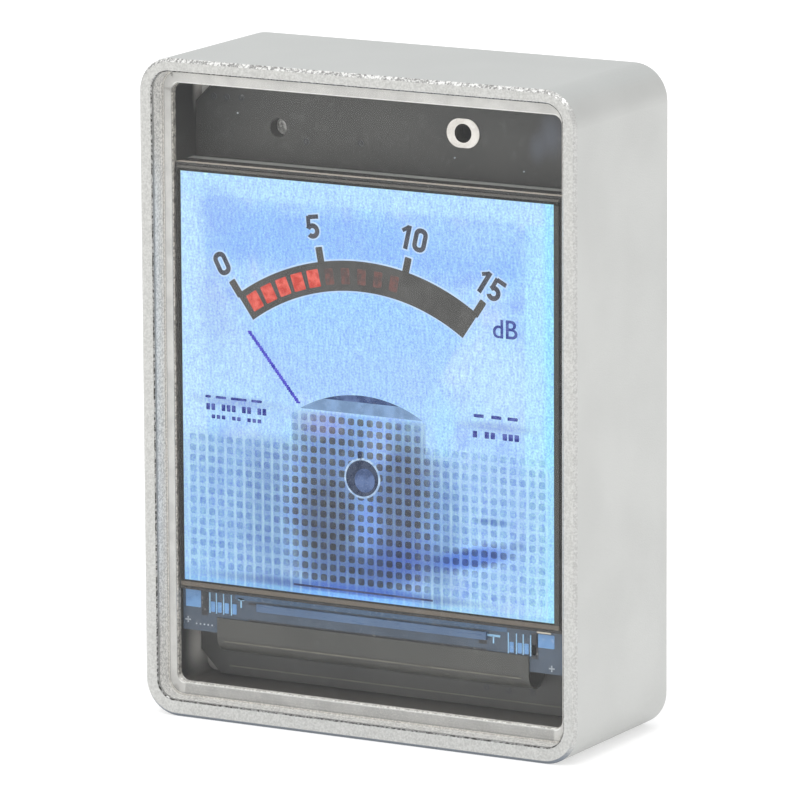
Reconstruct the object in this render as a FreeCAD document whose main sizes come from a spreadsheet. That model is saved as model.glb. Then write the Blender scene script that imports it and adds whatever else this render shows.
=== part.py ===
import FreeCAD, Part
import math
import os
import Sketcher

# A desk level meter: a square lit display on a circuit board, in a milled
# aluminium case with a clear front window and a screwed back cover.
# Millimetres. +Z is up, +X is to the right and the display faces -Y.
# The origin is the middle of the underside.

driving_sizes = {
    # Lit picture and the borders round it
    "active_width": 27.72,
    "active_height": 27.72,
    "side_border": 0.56,
    "top_border": 0.45,
    "bottom_border": 0.6,
    # Display module, from the front to the back
    "polarizer_thickness": 0.15,
    "polarizer_margin": 0.2,
    "glass_thickness": 0.4,
    "chip_ledge_height": 2.85,
    "film_thickness": 0.25,
    "guide_thickness": 0.85,
    "guide_margin": 0.2,
    "guide_clearance": 0.05,
    "reflector_thickness": 0.1,
    "tray_floor": 0.3,
    "tray_proud": 0.04,
    "led_bay_height": 1.6,
    "led_width": 3.0,
    "led_height": 1.0,
    "led_thickness": 0.6,
    "led_pitch": 7.5,
    "led_count": 4,
    # Driver chip and flex on the glass ledge
    "driver_width": 17.3,
    "driver_height": 0.52,
    "driver_thickness": 0.25,
    "driver_drop": 0.52,
    "flex_width": 23.5,
    "flex_thickness": 0.12,
    "flex_drop": 1.8,
    "flex_reach": 0.2,
    "flex_tail": 3.4,
    # Case
    "ring_width": 1.0,
    "side_ledge_width": 0.75,
    "end_ledge_width": 0.95,
    "recess_rise": 0.12,
    "recess_depth": 1.4,
    "case_corner_radius": 2.4,
    "recess_corner_radius": 1.3,
    "opening_corner_radius": 0.65,
    "edge_chamfer": 0.22,
    "lip_chamfer": 0.08,
    "top_strip": 5.27,
    "bottom_strip": 3.44,
    "side_gap": 0.08,
    "post_leg": 5.4,
    "rear_space": 6.15,
    # Window and its adhesive
    "window_thickness": 1.1,
    "window_clearance": 0.1,
    "window_chamfer": 0.08,
    "adhesive_thickness": 0.1,
    "adhesive_inset": 0.05,
    "display_gap": 0.05,
    # Board and the tape that holds the display to it
    "board_thickness": 1.0,
    "board_clearance": 0.1,
    "board_corner": 1.5,
    "tape_thickness": 0.2,
    "tape_margin": 1.0,
    # Sound port and microphone
    "port_x": -8.1,
    "port_drop": 4.77,
    "port_diameter": 1.25,
    "mesh_thickness": 0.15,
    "mesh_clearance": 0.02,
    "microphone_width": 2.75,
    "microphone_height": 1.85,
    "microphone_thickness": 0.9,
    # Plated oval eyelet
    "eyelet_x": 5.75,
    "eyelet_drop": 4.06,
    "eyelet_width": 2.42,
    "eyelet_height": 1.92,
    "eyelet_bore": 1.25,
    "eyelet_wall": 0.08,
    "eyelet_flange": 0.06,
    # Parts on the back of the board
    "chip_offset": 6.0,
    "chip_up": 21.0,
    "small_chip_up": 14.8,
    "capacitor_up": 27.5,
    "resistor_up": 31.0,
    "controller_side": 7.0,
    "controller_thickness": 1.2,
    "memory_side": 5.2,
    "memory_thickness": 1.8,
    "regulator_width": 2.9,
    "regulator_height": 1.5,
    "regulator_thickness": 1.1,
    "crystal_width": 3.2,
    "crystal_height": 2.5,
    "crystal_thickness": 0.75,
    "chip_corner": 0.25,
    "small_part_width": 1.6,
    "small_part_height": 0.8,
    "small_part_pitch": 1.7,
    "capacitor_thickness": 0.8,
    "resistor_thickness": 0.45,
    "capacitor_count": 6,
    "resistor_count": 6,
    # Power socket
    "socket_up": 9.0,
    "socket_mouth_width": 8.34,
    "socket_mouth_height": 2.56,
    "socket_wall": 0.3,
    "socket_recess": 0.3,
    "socket_gap": 0.15,
    "socket_base": 1.6,
    "socket_base_fit": 0.02,
    "tongue_width": 6.7,
    "tongue_thickness": 0.7,
    "tongue_recess": 0.75,
    "contact_pitch": 0.5,
    "contact_width": 0.26,
    "contact_thickness": 0.05,
    "contact_length": 3.6,
    "contact_count": 12,
    # Two push buttons and the switches under them
    "button_spacing": 20.4,
    "button_travel": 0.25,
    "stop_gap": 0.1,
    "switch_side": 4.5,
    "switch_base_thickness": 2.0,
    "switch_plate_thickness": 0.2,
    "well_diameter": 3.5,
    "dome_diameter": 3.1,
    "dome_top_diameter": 1.7,
    "dome_height": 0.45,
    "dome_thickness": 0.1,
    "stem_diameter": 2.3,
    "stem_flange_diameter": 3.0,
    "stem_flange_thickness": 0.5,
    "stem_clearance": 0.1,
    "cap_diameter": 3.4,
    "cap_clearance": 0.15,
    "cap_flange_diameter": 4.6,
    "cap_flange_thickness": 0.5,
    "cap_skirt": 0.8,
    "cap_top": 1.0,
    "cap_recess": 0.1,
    "cap_fit": 0.03,
    "cap_edge": 0.25,
    # Back cover, its screws and its sound holes
    "cover_thickness": 1.5,
    "cover_clearance": 0.05,
    "cover_corner_radius": 0.7,
    "screw_inset": 1.9,
    "screw_diameter": 1.4,
    "screw_length": 3.4,
    "screw_head_diameter": 2.6,
    "screw_head_height": 0.75,
    "screw_head_bevel": 0.12,
    "screw_sink": 0.05,
    "screw_clearance": 0.1,
    "thread_clearance": 0.02,
    "hole_spare_depth": 0.4,
    "drive_length": 1.5,
    "drive_width": 0.3,
    "drive_depth": 0.45,
    "sound_hole_diameter": 0.9,
    "sound_hole_pitch": 1.9,
    "sound_hole_count": 3,
}

document = FreeCAD.newDocument("level_meter")
sheet = document.addObject("Spreadsheet::Sheet", "sizes")
for row, (alias, number) in enumerate(driving_sizes.items(), start=1):
    sheet.set(f"A{row}", alias)
    sheet.set(f"B{row}", str(number))
    sheet.setAlias(f"B{row}", alias)
document.recompute()

# Widths and heights worked out from the sheet, as expressions
side_lip = "(sizes.ring_width + sizes.side_ledge_width)"
end_lip = "(sizes.ring_width + sizes.end_ledge_width)"
glass_width = "(sizes.active_width + 2 * sizes.side_border)"
filter_height = "(sizes.active_height + sizes.top_border + sizes.bottom_border)"
panel_height = f"({filter_height} + sizes.chip_ledge_height)"
opening_width = f"({glass_width} + 2 * sizes.side_gap)"
opening_height = f"(sizes.top_strip + {panel_height} + sizes.bottom_strip)"
recess_width = f"({opening_width} + 2 * sizes.side_ledge_width)"
recess_height = f"({opening_height} + 2 * sizes.end_ledge_width)"
case_width = f"({opening_width} + 2 * {side_lip})"
case_height = f"({opening_height} + 2 * {end_lip})"
guide_width = "(sizes.active_width + 2 * sizes.guide_margin)"
stem_hole = "(sizes.stem_diameter + 2 * sizes.stem_clearance)"

# Heights above the underside; the opening sits a little above the middle of the case
case_middle = f"({case_height} / 2)"
opening_middle = f"({case_middle} + sizes.recess_rise)"
panel_bottom = f"({end_lip} + sizes.recess_rise + sizes.bottom_strip)"
filter_bottom = f"({panel_bottom} + sizes.chip_ledge_height)"
active_bottom = f"({filter_bottom} + sizes.bottom_border)"
panel_top = f"({panel_bottom} + {panel_height})"
guide_bottom = f"({active_bottom} - sizes.guide_margin)"
guide_height = "(sizes.active_height + 2 * sizes.guide_margin)"
port_up = f"({case_height} - sizes.port_drop)"
eyelet_up = f"({case_height} - sizes.eyelet_drop)"

# Depths behind the front face of the case
display_depth = "(sizes.recess_depth + sizes.display_gap)"
filter_depth = f"({display_depth} + sizes.polarizer_thickness)"
panel_depth = f"({filter_depth} + sizes.glass_thickness)"
tray_depth = f"({panel_depth} + sizes.glass_thickness)"
film_depth = f"({tray_depth} + sizes.polarizer_thickness)"
guide_depth = f"({film_depth} + sizes.film_thickness)"
reflector_depth = f"({guide_depth} + sizes.guide_thickness)"
tray_floor_depth = f"({reflector_depth} + sizes.reflector_thickness)"
tape_depth = f"({tray_floor_depth} + sizes.tray_floor)"
board_depth = f"({tape_depth} + sizes.tape_thickness)"
rear_depth = f"({board_depth} + sizes.board_thickness)"
cover_depth = f"({rear_depth} + sizes.rear_space)"
case_depth = f"({cover_depth} + sizes.cover_thickness)"
screw_seat_depth = f"({case_depth} - sizes.screw_sink - sizes.screw_head_height)"
screw_tip_depth = f"({screw_seat_depth} - sizes.screw_length)"
stem_flange_depth = (f"({rear_depth} + sizes.switch_base_thickness - sizes.stop_gap"
                     " - sizes.stem_flange_thickness)")
dome_depth = f"({stem_flange_depth} - sizes.button_travel - sizes.stop_gap - sizes.dome_height)"
cap_end_depth = f"({case_depth} - sizes.cap_recess)"
cap_flange_depth = f"({cover_depth} - sizes.stop_gap - sizes.cap_flange_thickness)"
cap_skirt_depth = f"({cap_flange_depth} - sizes.cap_skirt)"
stem_end_depth = f"({cap_end_depth} - sizes.cap_top)"


def behind_front(depth):
    return f"({depth} - {case_depth} / 2)"


def bind(item, values):
    for name, expression in values.items():
        item.setExpression(name, expression)


def place(item, across, depth, up):
    bind(item, {
        "Placement.Base.x": across,
        "Placement.Base.y": behind_front(depth),
        "Placement.Base.z": up,
    })


# Sketches: each is centred on its own origin, on the plane that faces the front

def new_body(label, across, depth, up):
    body = document.addObject("PartDesign::Body", label)
    body.Label = label
    place(body, across, depth, up)
    return body


def new_sketch(body, name, across="0", back="0", up="0"):
    sketch = body.newObject("Sketcher::SketchObject", name)
    front_plane = next(item for item in body.Origin.OriginFeatures if item.Role == "XZ_Plane")
    sketch.AttachmentSupport = (front_plane, "")
    sketch.MapMode = "FlatFace"
    bind(sketch, {
        "AttachmentOffset.Base.x": across,
        "AttachmentOffset.Base.y": up,
        "AttachmentOffset.Base.z": f"-({back})",
    })
    return sketch


def measure(sketch, name, expression):
    sketch.renameConstraint(sketch.ConstraintCount - 1, name)
    sketch.setExpression("Constraints." + name, expression)


def draw_rectangle(sketch, width, height):
    corners = [(-5, -5), (5, -5), (5, 5), (-5, 5)]
    start = sketch.GeometryCount
    for index, corner in enumerate(corners):
        following = corners[(index + 1) % 4]
        begin = FreeCAD.Vector(corner[0], corner[1], 0)
        end = FreeCAD.Vector(following[0], following[1], 0)
        sketch.addGeometry(Part.LineSegment(begin, end))
    for index in range(4):
        line = start + index
        following = start + (index + 1) % 4
        sketch.addConstraint(Sketcher.Constraint("Coincident", line, 2, following, 1))
        direction = "Vertical" if index % 2 else "Horizontal"
        sketch.addConstraint(Sketcher.Constraint(direction, line))
    sketch.addConstraint(Sketcher.Constraint("Symmetric", start, 1, start + 1, 2, -1, 1))
    sketch.addConstraint(Sketcher.Constraint("DistanceX", start, 1, start, 2, 10))
    measure(sketch, "width", width)
    sketch.addConstraint(Sketcher.Constraint("DistanceY", start + 1, 1, start + 1, 2, 10))
    measure(sketch, "height", height)


def draw_octagon(sketch, width, height, cut):
    # A rectangle with its corners cut off at 45 degrees
    corners = [(-3, -5), (3, -5), (5, -3), (5, 3), (3, 5), (-3, 5), (-5, 3), (-5, -3)]
    for index, corner in enumerate(corners):
        following = corners[(index + 1) % 8]
        begin = FreeCAD.Vector(corner[0], corner[1], 0)
        end = FreeCAD.Vector(following[0], following[1], 0)
        sketch.addGeometry(Part.LineSegment(begin, end))
    for line in range(8):
        sketch.addConstraint(Sketcher.Constraint("Coincident", line, 2, (line + 1) % 8, 1))
    sketch.addConstraint(Sketcher.Constraint("Horizontal", 0))
    sketch.addConstraint(Sketcher.Constraint("Vertical", 2))
    for line in range(4):
        sketch.addConstraint(Sketcher.Constraint("Symmetric", line, 1, line + 4, 1, -1, 1))
    steps = [
        ("width", "DistanceX", (7, 1, 2, 1), 10, width),
        ("height", "DistanceY", (1, 1, 4, 1), 10, height),
        ("low_cut_across", "DistanceX", (1, 1, 1, 2), 2, cut),
        ("low_cut_up", "DistanceY", (1, 1, 1, 2), 2, cut),
        ("high_cut_across", "DistanceX", (3, 2, 3, 1), 2, cut),
        ("high_cut_up", "DistanceY", (3, 1, 3, 2), 2, cut),
    ]
    for name, direction, points, start, expression in steps:
        sketch.addConstraint(Sketcher.Constraint(direction, *points, start))
        measure(sketch, name, expression)


def draw_circle(sketch, diameter):
    circle = Part.Circle(FreeCAD.Vector(0, 0, 0), FreeCAD.Vector(0, 0, 1), 1)
    index = sketch.addGeometry(circle)
    sketch.addConstraint(Sketcher.Constraint("Coincident", index, 3, -1, 1))
    sketch.addConstraint(Sketcher.Constraint("Diameter", index, 2))
    measure(sketch, "diameter", diameter)


def draw_slot(sketch, width, height, start_width, start_height):
    # A long hole with half-round ends: two level lines joined by two arcs
    radius = start_height / 2
    reach = start_width / 2 - radius
    quarter = math.pi / 2
    flat = FreeCAD.Vector(0, 0, 1)
    below = [FreeCAD.Vector(-reach, -radius, 0), FreeCAD.Vector(reach, -radius, 0)]
    above = [FreeCAD.Vector(reach, radius, 0), FreeCAD.Vector(-reach, radius, 0)]
    right_end = Part.Circle(FreeCAD.Vector(reach, 0, 0), flat, radius)
    left_end = Part.Circle(FreeCAD.Vector(-reach, 0, 0), flat, radius)
    sketch.addGeometry(Part.LineSegment(below[0], below[1]))
    sketch.addGeometry(Part.ArcOfCircle(right_end, -quarter, quarter))
    sketch.addGeometry(Part.LineSegment(above[0], above[1]))
    sketch.addGeometry(Part.ArcOfCircle(left_end, quarter, 3 * quarter))
    sketch.addConstraint(Sketcher.Constraint("Tangent", 0, 2, 1, 1))
    sketch.addConstraint(Sketcher.Constraint("Tangent", 1, 2, 2, 1))
    sketch.addConstraint(Sketcher.Constraint("Tangent", 2, 2, 3, 1))
    sketch.addConstraint(Sketcher.Constraint("Tangent", 3, 2, 0, 1))
    sketch.addConstraint(Sketcher.Constraint("Horizontal", 0))
    sketch.addConstraint(Sketcher.Constraint("Equal", 1, 3))
    sketch.addConstraint(Sketcher.Constraint("Symmetric", 1, 3, 3, 3, -1, 1))
    sketch.addConstraint(Sketcher.Constraint("DistanceX", 0, 1, 0, 2, 2 * reach))
    measure(sketch, "straight", f"({width}) - ({height})")
    sketch.addConstraint(Sketcher.Constraint("Radius", 1, radius))
    measure(sketch, "end_radius", f"({height}) / 2")


# Features: pads and pockets run towards the back of the case, unless to_front is set

def pad(body, sketch, length):
    feature = body.newObject("PartDesign::Pad", sketch.Name + "_pad")
    feature.Profile = sketch
    feature.Reversed = True
    feature.setExpression("Length", length)
    sketch.Visibility = False
    document.recompute()
    return feature


def pocket(body, sketch, length, to_front=False):
    before = body.Tip.Shape.Volume
    feature = body.newObject("PartDesign::Pocket", sketch.Name + "_pocket")
    feature.Profile = sketch
    feature.Reversed = to_front
    feature.setExpression("Length", length)
    sketch.Visibility = False
    document.recompute()
    if not feature.Shape.Volume < before:
        raise RuntimeError(f"{feature.Label} cuts nothing")
    return feature


def corner_edges(feature):
    # The straight front-to-back edges that this feature has just made
    base = feature.BaseFeature
    old = [edge.BoundBox.Center for edge in base.Shape.Edges] if base else []
    names = []
    for number, edge in enumerate(feature.Shape.Edges, start=1):
        span = edge.BoundBox
        level = span.XLength < 1e-4 and span.ZLength < 1e-4
        known = any(span.Center.distanceToPoint(point) < 1e-4 for point in old)
        if level and not known:
            names.append(f"Edge{number}")
    return names


def rim_edges(feature, depth, sketch):
    # The edges at one depth that lie on the outline drawn in the sketch
    outline = sketch.Shape.BoundBox
    names = []
    for number, edge in enumerate(feature.Shape.Edges, start=1):
        span = edge.BoundBox
        at_depth = abs(span.YMin - depth) < 1e-4 and abs(span.YMax - depth) < 1e-4
        on_side = abs(span.XMin - outline.XMin) < 1e-3 or abs(span.XMax - outline.XMax) < 1e-3
        on_end = abs(span.ZMin - outline.ZMin) < 1e-3 or abs(span.ZMax - outline.ZMax) < 1e-3
        if at_depth and (on_side or on_end):
            names.append(f"Edge{number}")
    return names


def soften(body, feature, kind, names, amount):
    # Rounds or bevels the named edges of the last feature
    softened = body.newObject("PartDesign::" + kind, feature.Name + "_" + kind.lower())
    softened.Base = (feature, names)
    softened.setExpression("Radius" if kind == "Fillet" else "Size", amount)
    document.recompute()
    return softened


def block(label, size, across, depth, up):
    # A plain block, given by its middle across, its front face and its underside
    width, thickness, height = size
    item = document.addObject("Part::Box", label)
    item.Label = label
    bind(item, {"Length": width, "Width": thickness, "Height": height})
    place(item, f"{across} - {width} / 2", depth, up)
    return item


def group(label, members):
    item = document.addObject("Part::Compound", label)
    item.Label = label
    item.Links = members
    return item


def plate(label, size, across, depth, up, corner=None, kind="Fillet"):
    # A flat plate with softened corners, given by the middle of its front face
    width, thickness, height = size
    body = new_body(label, across, depth, up)
    outline = new_sketch(body, label + "_outline")
    draw_rectangle(outline, width, height)
    feature = pad(body, outline, thickness)
    if corner:
        feature = soften(body, feature, kind, corner_edges(feature), corner)
    return body, feature, outline


# Case and window

def make_case():
    size = (case_width, case_depth, case_height)
    body, outer, outline = plate("case_shell", size, "0", "0", case_middle, "sizes.case_corner_radius")
    depth = outer.Shape.BoundBox.YMax
    rims = rim_edges(outer, 0, outline) + rim_edges(outer, depth, outline)
    soften(body, outer, "Chamfer", rims, "sizes.edge_chamfer")

    rise = "sizes.recess_rise"
    recess = new_sketch(body, "window_recess", up=rise)
    draw_rectangle(recess, recess_width, recess_height)
    cut = pocket(body, recess, "sizes.recess_depth")
    cut = soften(body, cut, "Fillet", corner_edges(cut), "sizes.recess_corner_radius")
    soften(body, cut, "Chamfer", rim_edges(cut, 0, recess), "sizes.lip_chamfer")

    front_space = new_sketch(body, "front_space", back="sizes.recess_depth", up=rise)
    draw_rectangle(front_space, opening_width, opening_height)
    cut = pocket(body, front_space, f"{rear_depth} - sizes.recess_depth")
    cut = soften(body, cut, "Fillet", corner_edges(cut), "sizes.opening_corner_radius")
    ledge = rim_edges(cut, float(sheet.recess_depth), front_space)
    soften(body, cut, "Chamfer", ledge, "sizes.lip_chamfer")

    # Behind the board the corners stay solid, as posts for the cover screws
    rear_space = new_sketch(body, "rear_space", back=rear_depth, up=rise)
    draw_octagon(rear_space, opening_width, opening_height, "sizes.post_leg")
    pocket(body, rear_space, "sizes.rear_space")

    cover_seat = new_sketch(body, "cover_seat", back=cover_depth, up=rise)
    draw_rectangle(cover_seat, opening_width, opening_height)
    cut = pocket(body, cover_seat, "sizes.cover_thickness")
    soften(body, cut, "Fillet", corner_edges(cut), "sizes.cover_corner_radius")

    for name, across, up in screw_places():
        tapped = new_sketch(body, "tapped_hole_" + name, across, cover_depth, f"{up} + {rise}")
        draw_circle(tapped, "sizes.screw_diameter + 2 * sizes.thread_clearance")
        depth_in = f"{cover_depth} - {screw_tip_depth} + sizes.hole_spare_depth"
        pocket(body, tapped, depth_in, to_front=True)
    return body


def screw_places():
    # The four corners, from the middle of the opening
    across = f"({opening_width} / 2 - sizes.screw_inset)"
    up = f"({opening_height} / 2 - sizes.screw_inset)"
    return [
        ("left_low", f"-{across}", f"-{up}"),
        ("right_low", across, f"-{up}"),
        ("left_high", f"-{across}", up),
        ("right_high", across, up),
    ]


def make_window():
    gap = "2 * sizes.window_clearance"
    size = (f"({recess_width} - {gap})", "sizes.window_thickness", f"({recess_height} - {gap})")
    depth = "(sizes.recess_depth - sizes.adhesive_thickness - sizes.window_thickness)"
    corner = "sizes.recess_corner_radius - sizes.window_clearance"
    body, feature, outline = plate("front_window", size, "0", depth, opening_middle, corner)
    soften(body, feature, "Chamfer", rim_edges(feature, 0, outline), "sizes.window_chamfer")
    return body


def make_adhesive():
    inset = "2 * (sizes.window_clearance + sizes.adhesive_inset)"
    size = (f"({recess_width} - {inset})", "sizes.adhesive_thickness", f"({recess_height} - {inset})")
    depth = "(sizes.recess_depth - sizes.adhesive_thickness)"
    corner = "sizes.recess_corner_radius - sizes.window_clearance - sizes.adhesive_inset"
    body, feature, outline = plate("window_adhesive", size, "0", depth, opening_middle, corner)
    opening = new_sketch(body, "adhesive_opening")
    margin = "2 * sizes.adhesive_inset"
    draw_rectangle(opening, f"{opening_width} + {margin}", f"{opening_height} + {margin}")
    cut = pocket(body, opening, "sizes.adhesive_thickness")
    soften(body, cut, "Fillet", corner_edges(cut), "sizes.opening_corner_radius")
    return body


# Display module

def make_display_glass():
    size = (f"({glass_width} - 2 * sizes.polarizer_margin)", "sizes.polarizer_thickness",
            f"({filter_height} - 2 * sizes.polarizer_margin)")
    up = f"({filter_bottom} + sizes.polarizer_margin)"
    front = block("front_polarizer", size, "0", display_depth, up)

    size = (glass_width, "sizes.glass_thickness", filter_height)
    color_filter = block("color_filter_glass", size, "0", filter_depth, filter_bottom)

    size = (glass_width, "sizes.glass_thickness", panel_height)
    panel = block("tft_glass", size, "0", panel_depth, panel_bottom)
    return [front, color_filter, panel]


def make_driver():
    size = ("sizes.driver_width", "sizes.driver_thickness", "sizes.driver_height")
    up = f"({filter_bottom} - sizes.driver_drop - sizes.driver_height)"
    return block("driver_chip", size, "0", f"({panel_depth} - sizes.driver_thickness)", up)


def make_flex():
    # The flex lies on the glass ledge, folds back under it and ends on the board
    thickness = "sizes.flex_thickness"
    top = f"({filter_bottom} - sizes.flex_drop)"
    fold_up = f"({panel_bottom} - sizes.flex_reach)"
    inner_radius = f"(({board_depth} - {thickness} - {panel_depth}) / 2)"
    fold_depth = f"({panel_depth} + {inner_radius})"

    size = ("sizes.flex_width", thickness, f"({top} - {fold_up})")
    front_leg = block("flex_front_leg", size, "0", f"({panel_depth} - {thickness})", fold_up)
    size = ("sizes.flex_width", thickness, "sizes.flex_tail")
    tail = block("flex_tail_leg", size, "0", f"({board_depth} - {thickness})", fold_up)

    # Half a tube lying across, open upwards
    forward = FreeCAD.Vector(0, -1, 0)
    down = FreeCAD.Vector(0, 0, -1)
    lower_half = FreeCAD.Rotation(forward, down, FreeCAD.Vector(1, 0, 0), "ZXY")
    halves = []
    for name, radius in (("outer", f"({inner_radius} + {thickness})"), ("inner", inner_radius)):
        half = document.addObject("Part::Cylinder", "flex_fold_" + name)
        half.Placement.Rotation = lower_half
        half.Angle = 180
        bind(half, {"Radius": radius, "Height": "sizes.flex_width"})
        place(half, "-sizes.flex_width / 2", fold_depth, fold_up)
        halves.append(half)
    fold = document.addObject("Part::Cut", "flex_fold")
    fold.Base, fold.Tool = halves

    flex = document.addObject("Part::MultiFuse", "display_flex")
    flex.Label = "display_flex"
    flex.Shapes = [front_leg, fold, tail]
    flex.Refine = True
    return flex


def make_backlight():
    tray_width = f"({glass_width} + 2 * sizes.tray_proud)"
    tray_thickness = f"({tape_depth} - {tray_depth})"
    tray_middle = f"({panel_bottom} + {panel_height} / 2)"
    tray = new_body("backlight_tray", "0", tray_depth, tray_middle)
    outline = new_sketch(tray, "tray_outline")
    draw_rectangle(outline, tray_width, panel_height)
    pad(tray, outline, tray_thickness)

    gap = "sizes.guide_clearance"
    bay_height = f"({guide_height} + 2 * {gap} + sizes.led_bay_height)"
    bay_middle = f"({guide_bottom} - {gap} - sizes.led_bay_height + {bay_height} / 2 - {tray_middle})"
    bay = new_sketch(tray, "light_bay", up=bay_middle)
    draw_rectangle(bay, f"{guide_width} + 2 * {gap}", bay_height)
    pocket(tray, bay, f"{tray_floor_depth} - {tray_depth}")

    layers = [
        ("rear_polarizer", "sizes.polarizer_thickness", tray_depth),
        ("diffuser_films", "sizes.film_thickness", film_depth),
        ("light_guide", "sizes.guide_thickness", guide_depth),
        ("reflector_sheet", "sizes.reflector_thickness", reflector_depth),
    ]
    pieces = [tray]
    for label, thickness, depth in layers:
        size = (guide_width, thickness, guide_height)
        pieces.append(block(label, size, "0", depth, guide_bottom))

    lamps = []
    count = int(sheet.led_count)
    lamp_up = f"({guide_bottom} - {gap} - sizes.led_height)"
    lamp_depth = f"({tray_floor_depth} - sizes.led_thickness)"
    for index in range(count):
        across = f"(({index} - (sizes.led_count - 1) / 2) * sizes.led_pitch)"
        size = ("sizes.led_width", "sizes.led_thickness", "sizes.led_height")
        lamps.append(block(f"led_{index + 1}", size, across, lamp_depth, lamp_up))
    pieces.append(group("backlight_leds", lamps))
    return pieces


def make_tape():
    # Stops short of the flex tail that lies behind the lower end of the display
    tail_top = f"({panel_bottom} - sizes.flex_reach + sizes.flex_tail)"
    up = f"({tail_top} + sizes.tape_margin)"
    height = f"({panel_top} - sizes.tape_margin - {up})"
    size = (f"({glass_width} - 2 * sizes.tape_margin)", "sizes.tape_thickness", height)
    return block("display_tape", size, "0", tape_depth, up)


# Circuit board and what it carries

def make_board():
    gap = "2 * sizes.board_clearance"
    size = (f"({opening_width} - {gap})", "sizes.board_thickness", f"({opening_height} - {gap})")
    body = plate("main_board", size, "0", board_depth, opening_middle, "sizes.board_corner", "Chamfer")[0]
    port = new_sketch(body, "sound_port", "sizes.port_x", "0", f"{port_up} - {opening_middle}")
    draw_circle(port, "sizes.port_diameter")
    pocket(body, port, "sizes.board_thickness")
    hole = new_sketch(body, "eyelet_hole", "sizes.eyelet_x", "0", f"{eyelet_up} - {opening_middle}")
    draw_circle(hole, "sizes.eyelet_bore + 2 * sizes.eyelet_wall")
    pocket(body, hole, "sizes.board_thickness")
    return body


def make_eyelet():
    # A tinned oval flange on each face of the board, joined by a barrel
    flange = "sizes.eyelet_flange"
    body = new_body("plated_eyelet", "sizes.eyelet_x", f"({board_depth} - {flange})", eyelet_up)
    places = [("front_flange", "0"), ("rear_flange", f"{flange} + sizes.board_thickness")]
    barrel = new_sketch(body, "barrel")
    draw_circle(barrel, "sizes.eyelet_bore + 2 * sizes.eyelet_wall")
    pad(body, barrel, f"sizes.board_thickness + 2 * {flange}")
    for name, back in places:
        oval = new_sketch(body, name, back=back)
        draw_slot(oval, "sizes.eyelet_width", "sizes.eyelet_height",
                  float(sheet.eyelet_width), float(sheet.eyelet_height))
        pad(body, oval, flange)
    bore = new_sketch(body, "bore")
    draw_circle(bore, "sizes.eyelet_bore")
    pocket(body, bore, f"sizes.board_thickness + 2 * {flange}")
    return body


def make_microphone():
    size = ("sizes.microphone_width", "sizes.microphone_thickness", "sizes.microphone_height")
    can = plate("microphone", size, "sizes.port_x", rear_depth, port_up, "sizes.chip_corner")[0]
    depth = f"({rear_depth} - sizes.mesh_thickness)"
    mesh = new_body("microphone_mesh", "sizes.port_x", depth, port_up)
    disc = new_sketch(mesh, "mesh_disc")
    draw_circle(disc, "sizes.port_diameter - 2 * sizes.mesh_clearance")
    pad(mesh, disc, "sizes.mesh_thickness")
    return [can, mesh]


def make_chips():
    left = "-sizes.chip_offset"
    right = "sizes.chip_offset"
    controller = ("sizes.controller_side", "sizes.controller_thickness", "sizes.controller_side")
    memory = ("sizes.memory_side", "sizes.memory_thickness", "sizes.memory_side")
    regulator = ("sizes.regulator_width", "sizes.regulator_thickness", "sizes.regulator_height")
    crystal = ("sizes.crystal_width", "sizes.crystal_thickness", "sizes.crystal_height")
    chips = [
        ("controller_chip", controller, left, "sizes.chip_up", "Chamfer"),
        ("memory_chip", memory, right, "sizes.chip_up", "Chamfer"),
        ("regulator_chip", regulator, right, "sizes.small_chip_up", "Chamfer"),
        ("crystal", crystal, left, "sizes.small_chip_up", "Fillet"),
    ]
    return [plate(label, size, across, rear_depth, up, "sizes.chip_corner", kind)[0]
            for label, size, across, up, kind in chips]


def make_small_parts():
    rows = [("capacitor", sheet.capacitor_count), ("resistor", sheet.resistor_count)]
    pieces = []
    for kind, count in rows:
        size = ("sizes.small_part_height", f"sizes.{kind}_thickness", "sizes.small_part_width")
        members = []
        for index in range(int(count)):
            across = f"(({index} - (sizes.{kind}_count - 1) / 2) * sizes.small_part_pitch)"
            up = f"sizes.{kind}_up"
            members.append(block(f"{kind}_{index + 1}", size, across, rear_depth, up))
        pieces.append(group(kind + "s", members))
    return pieces


# Power socket

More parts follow.
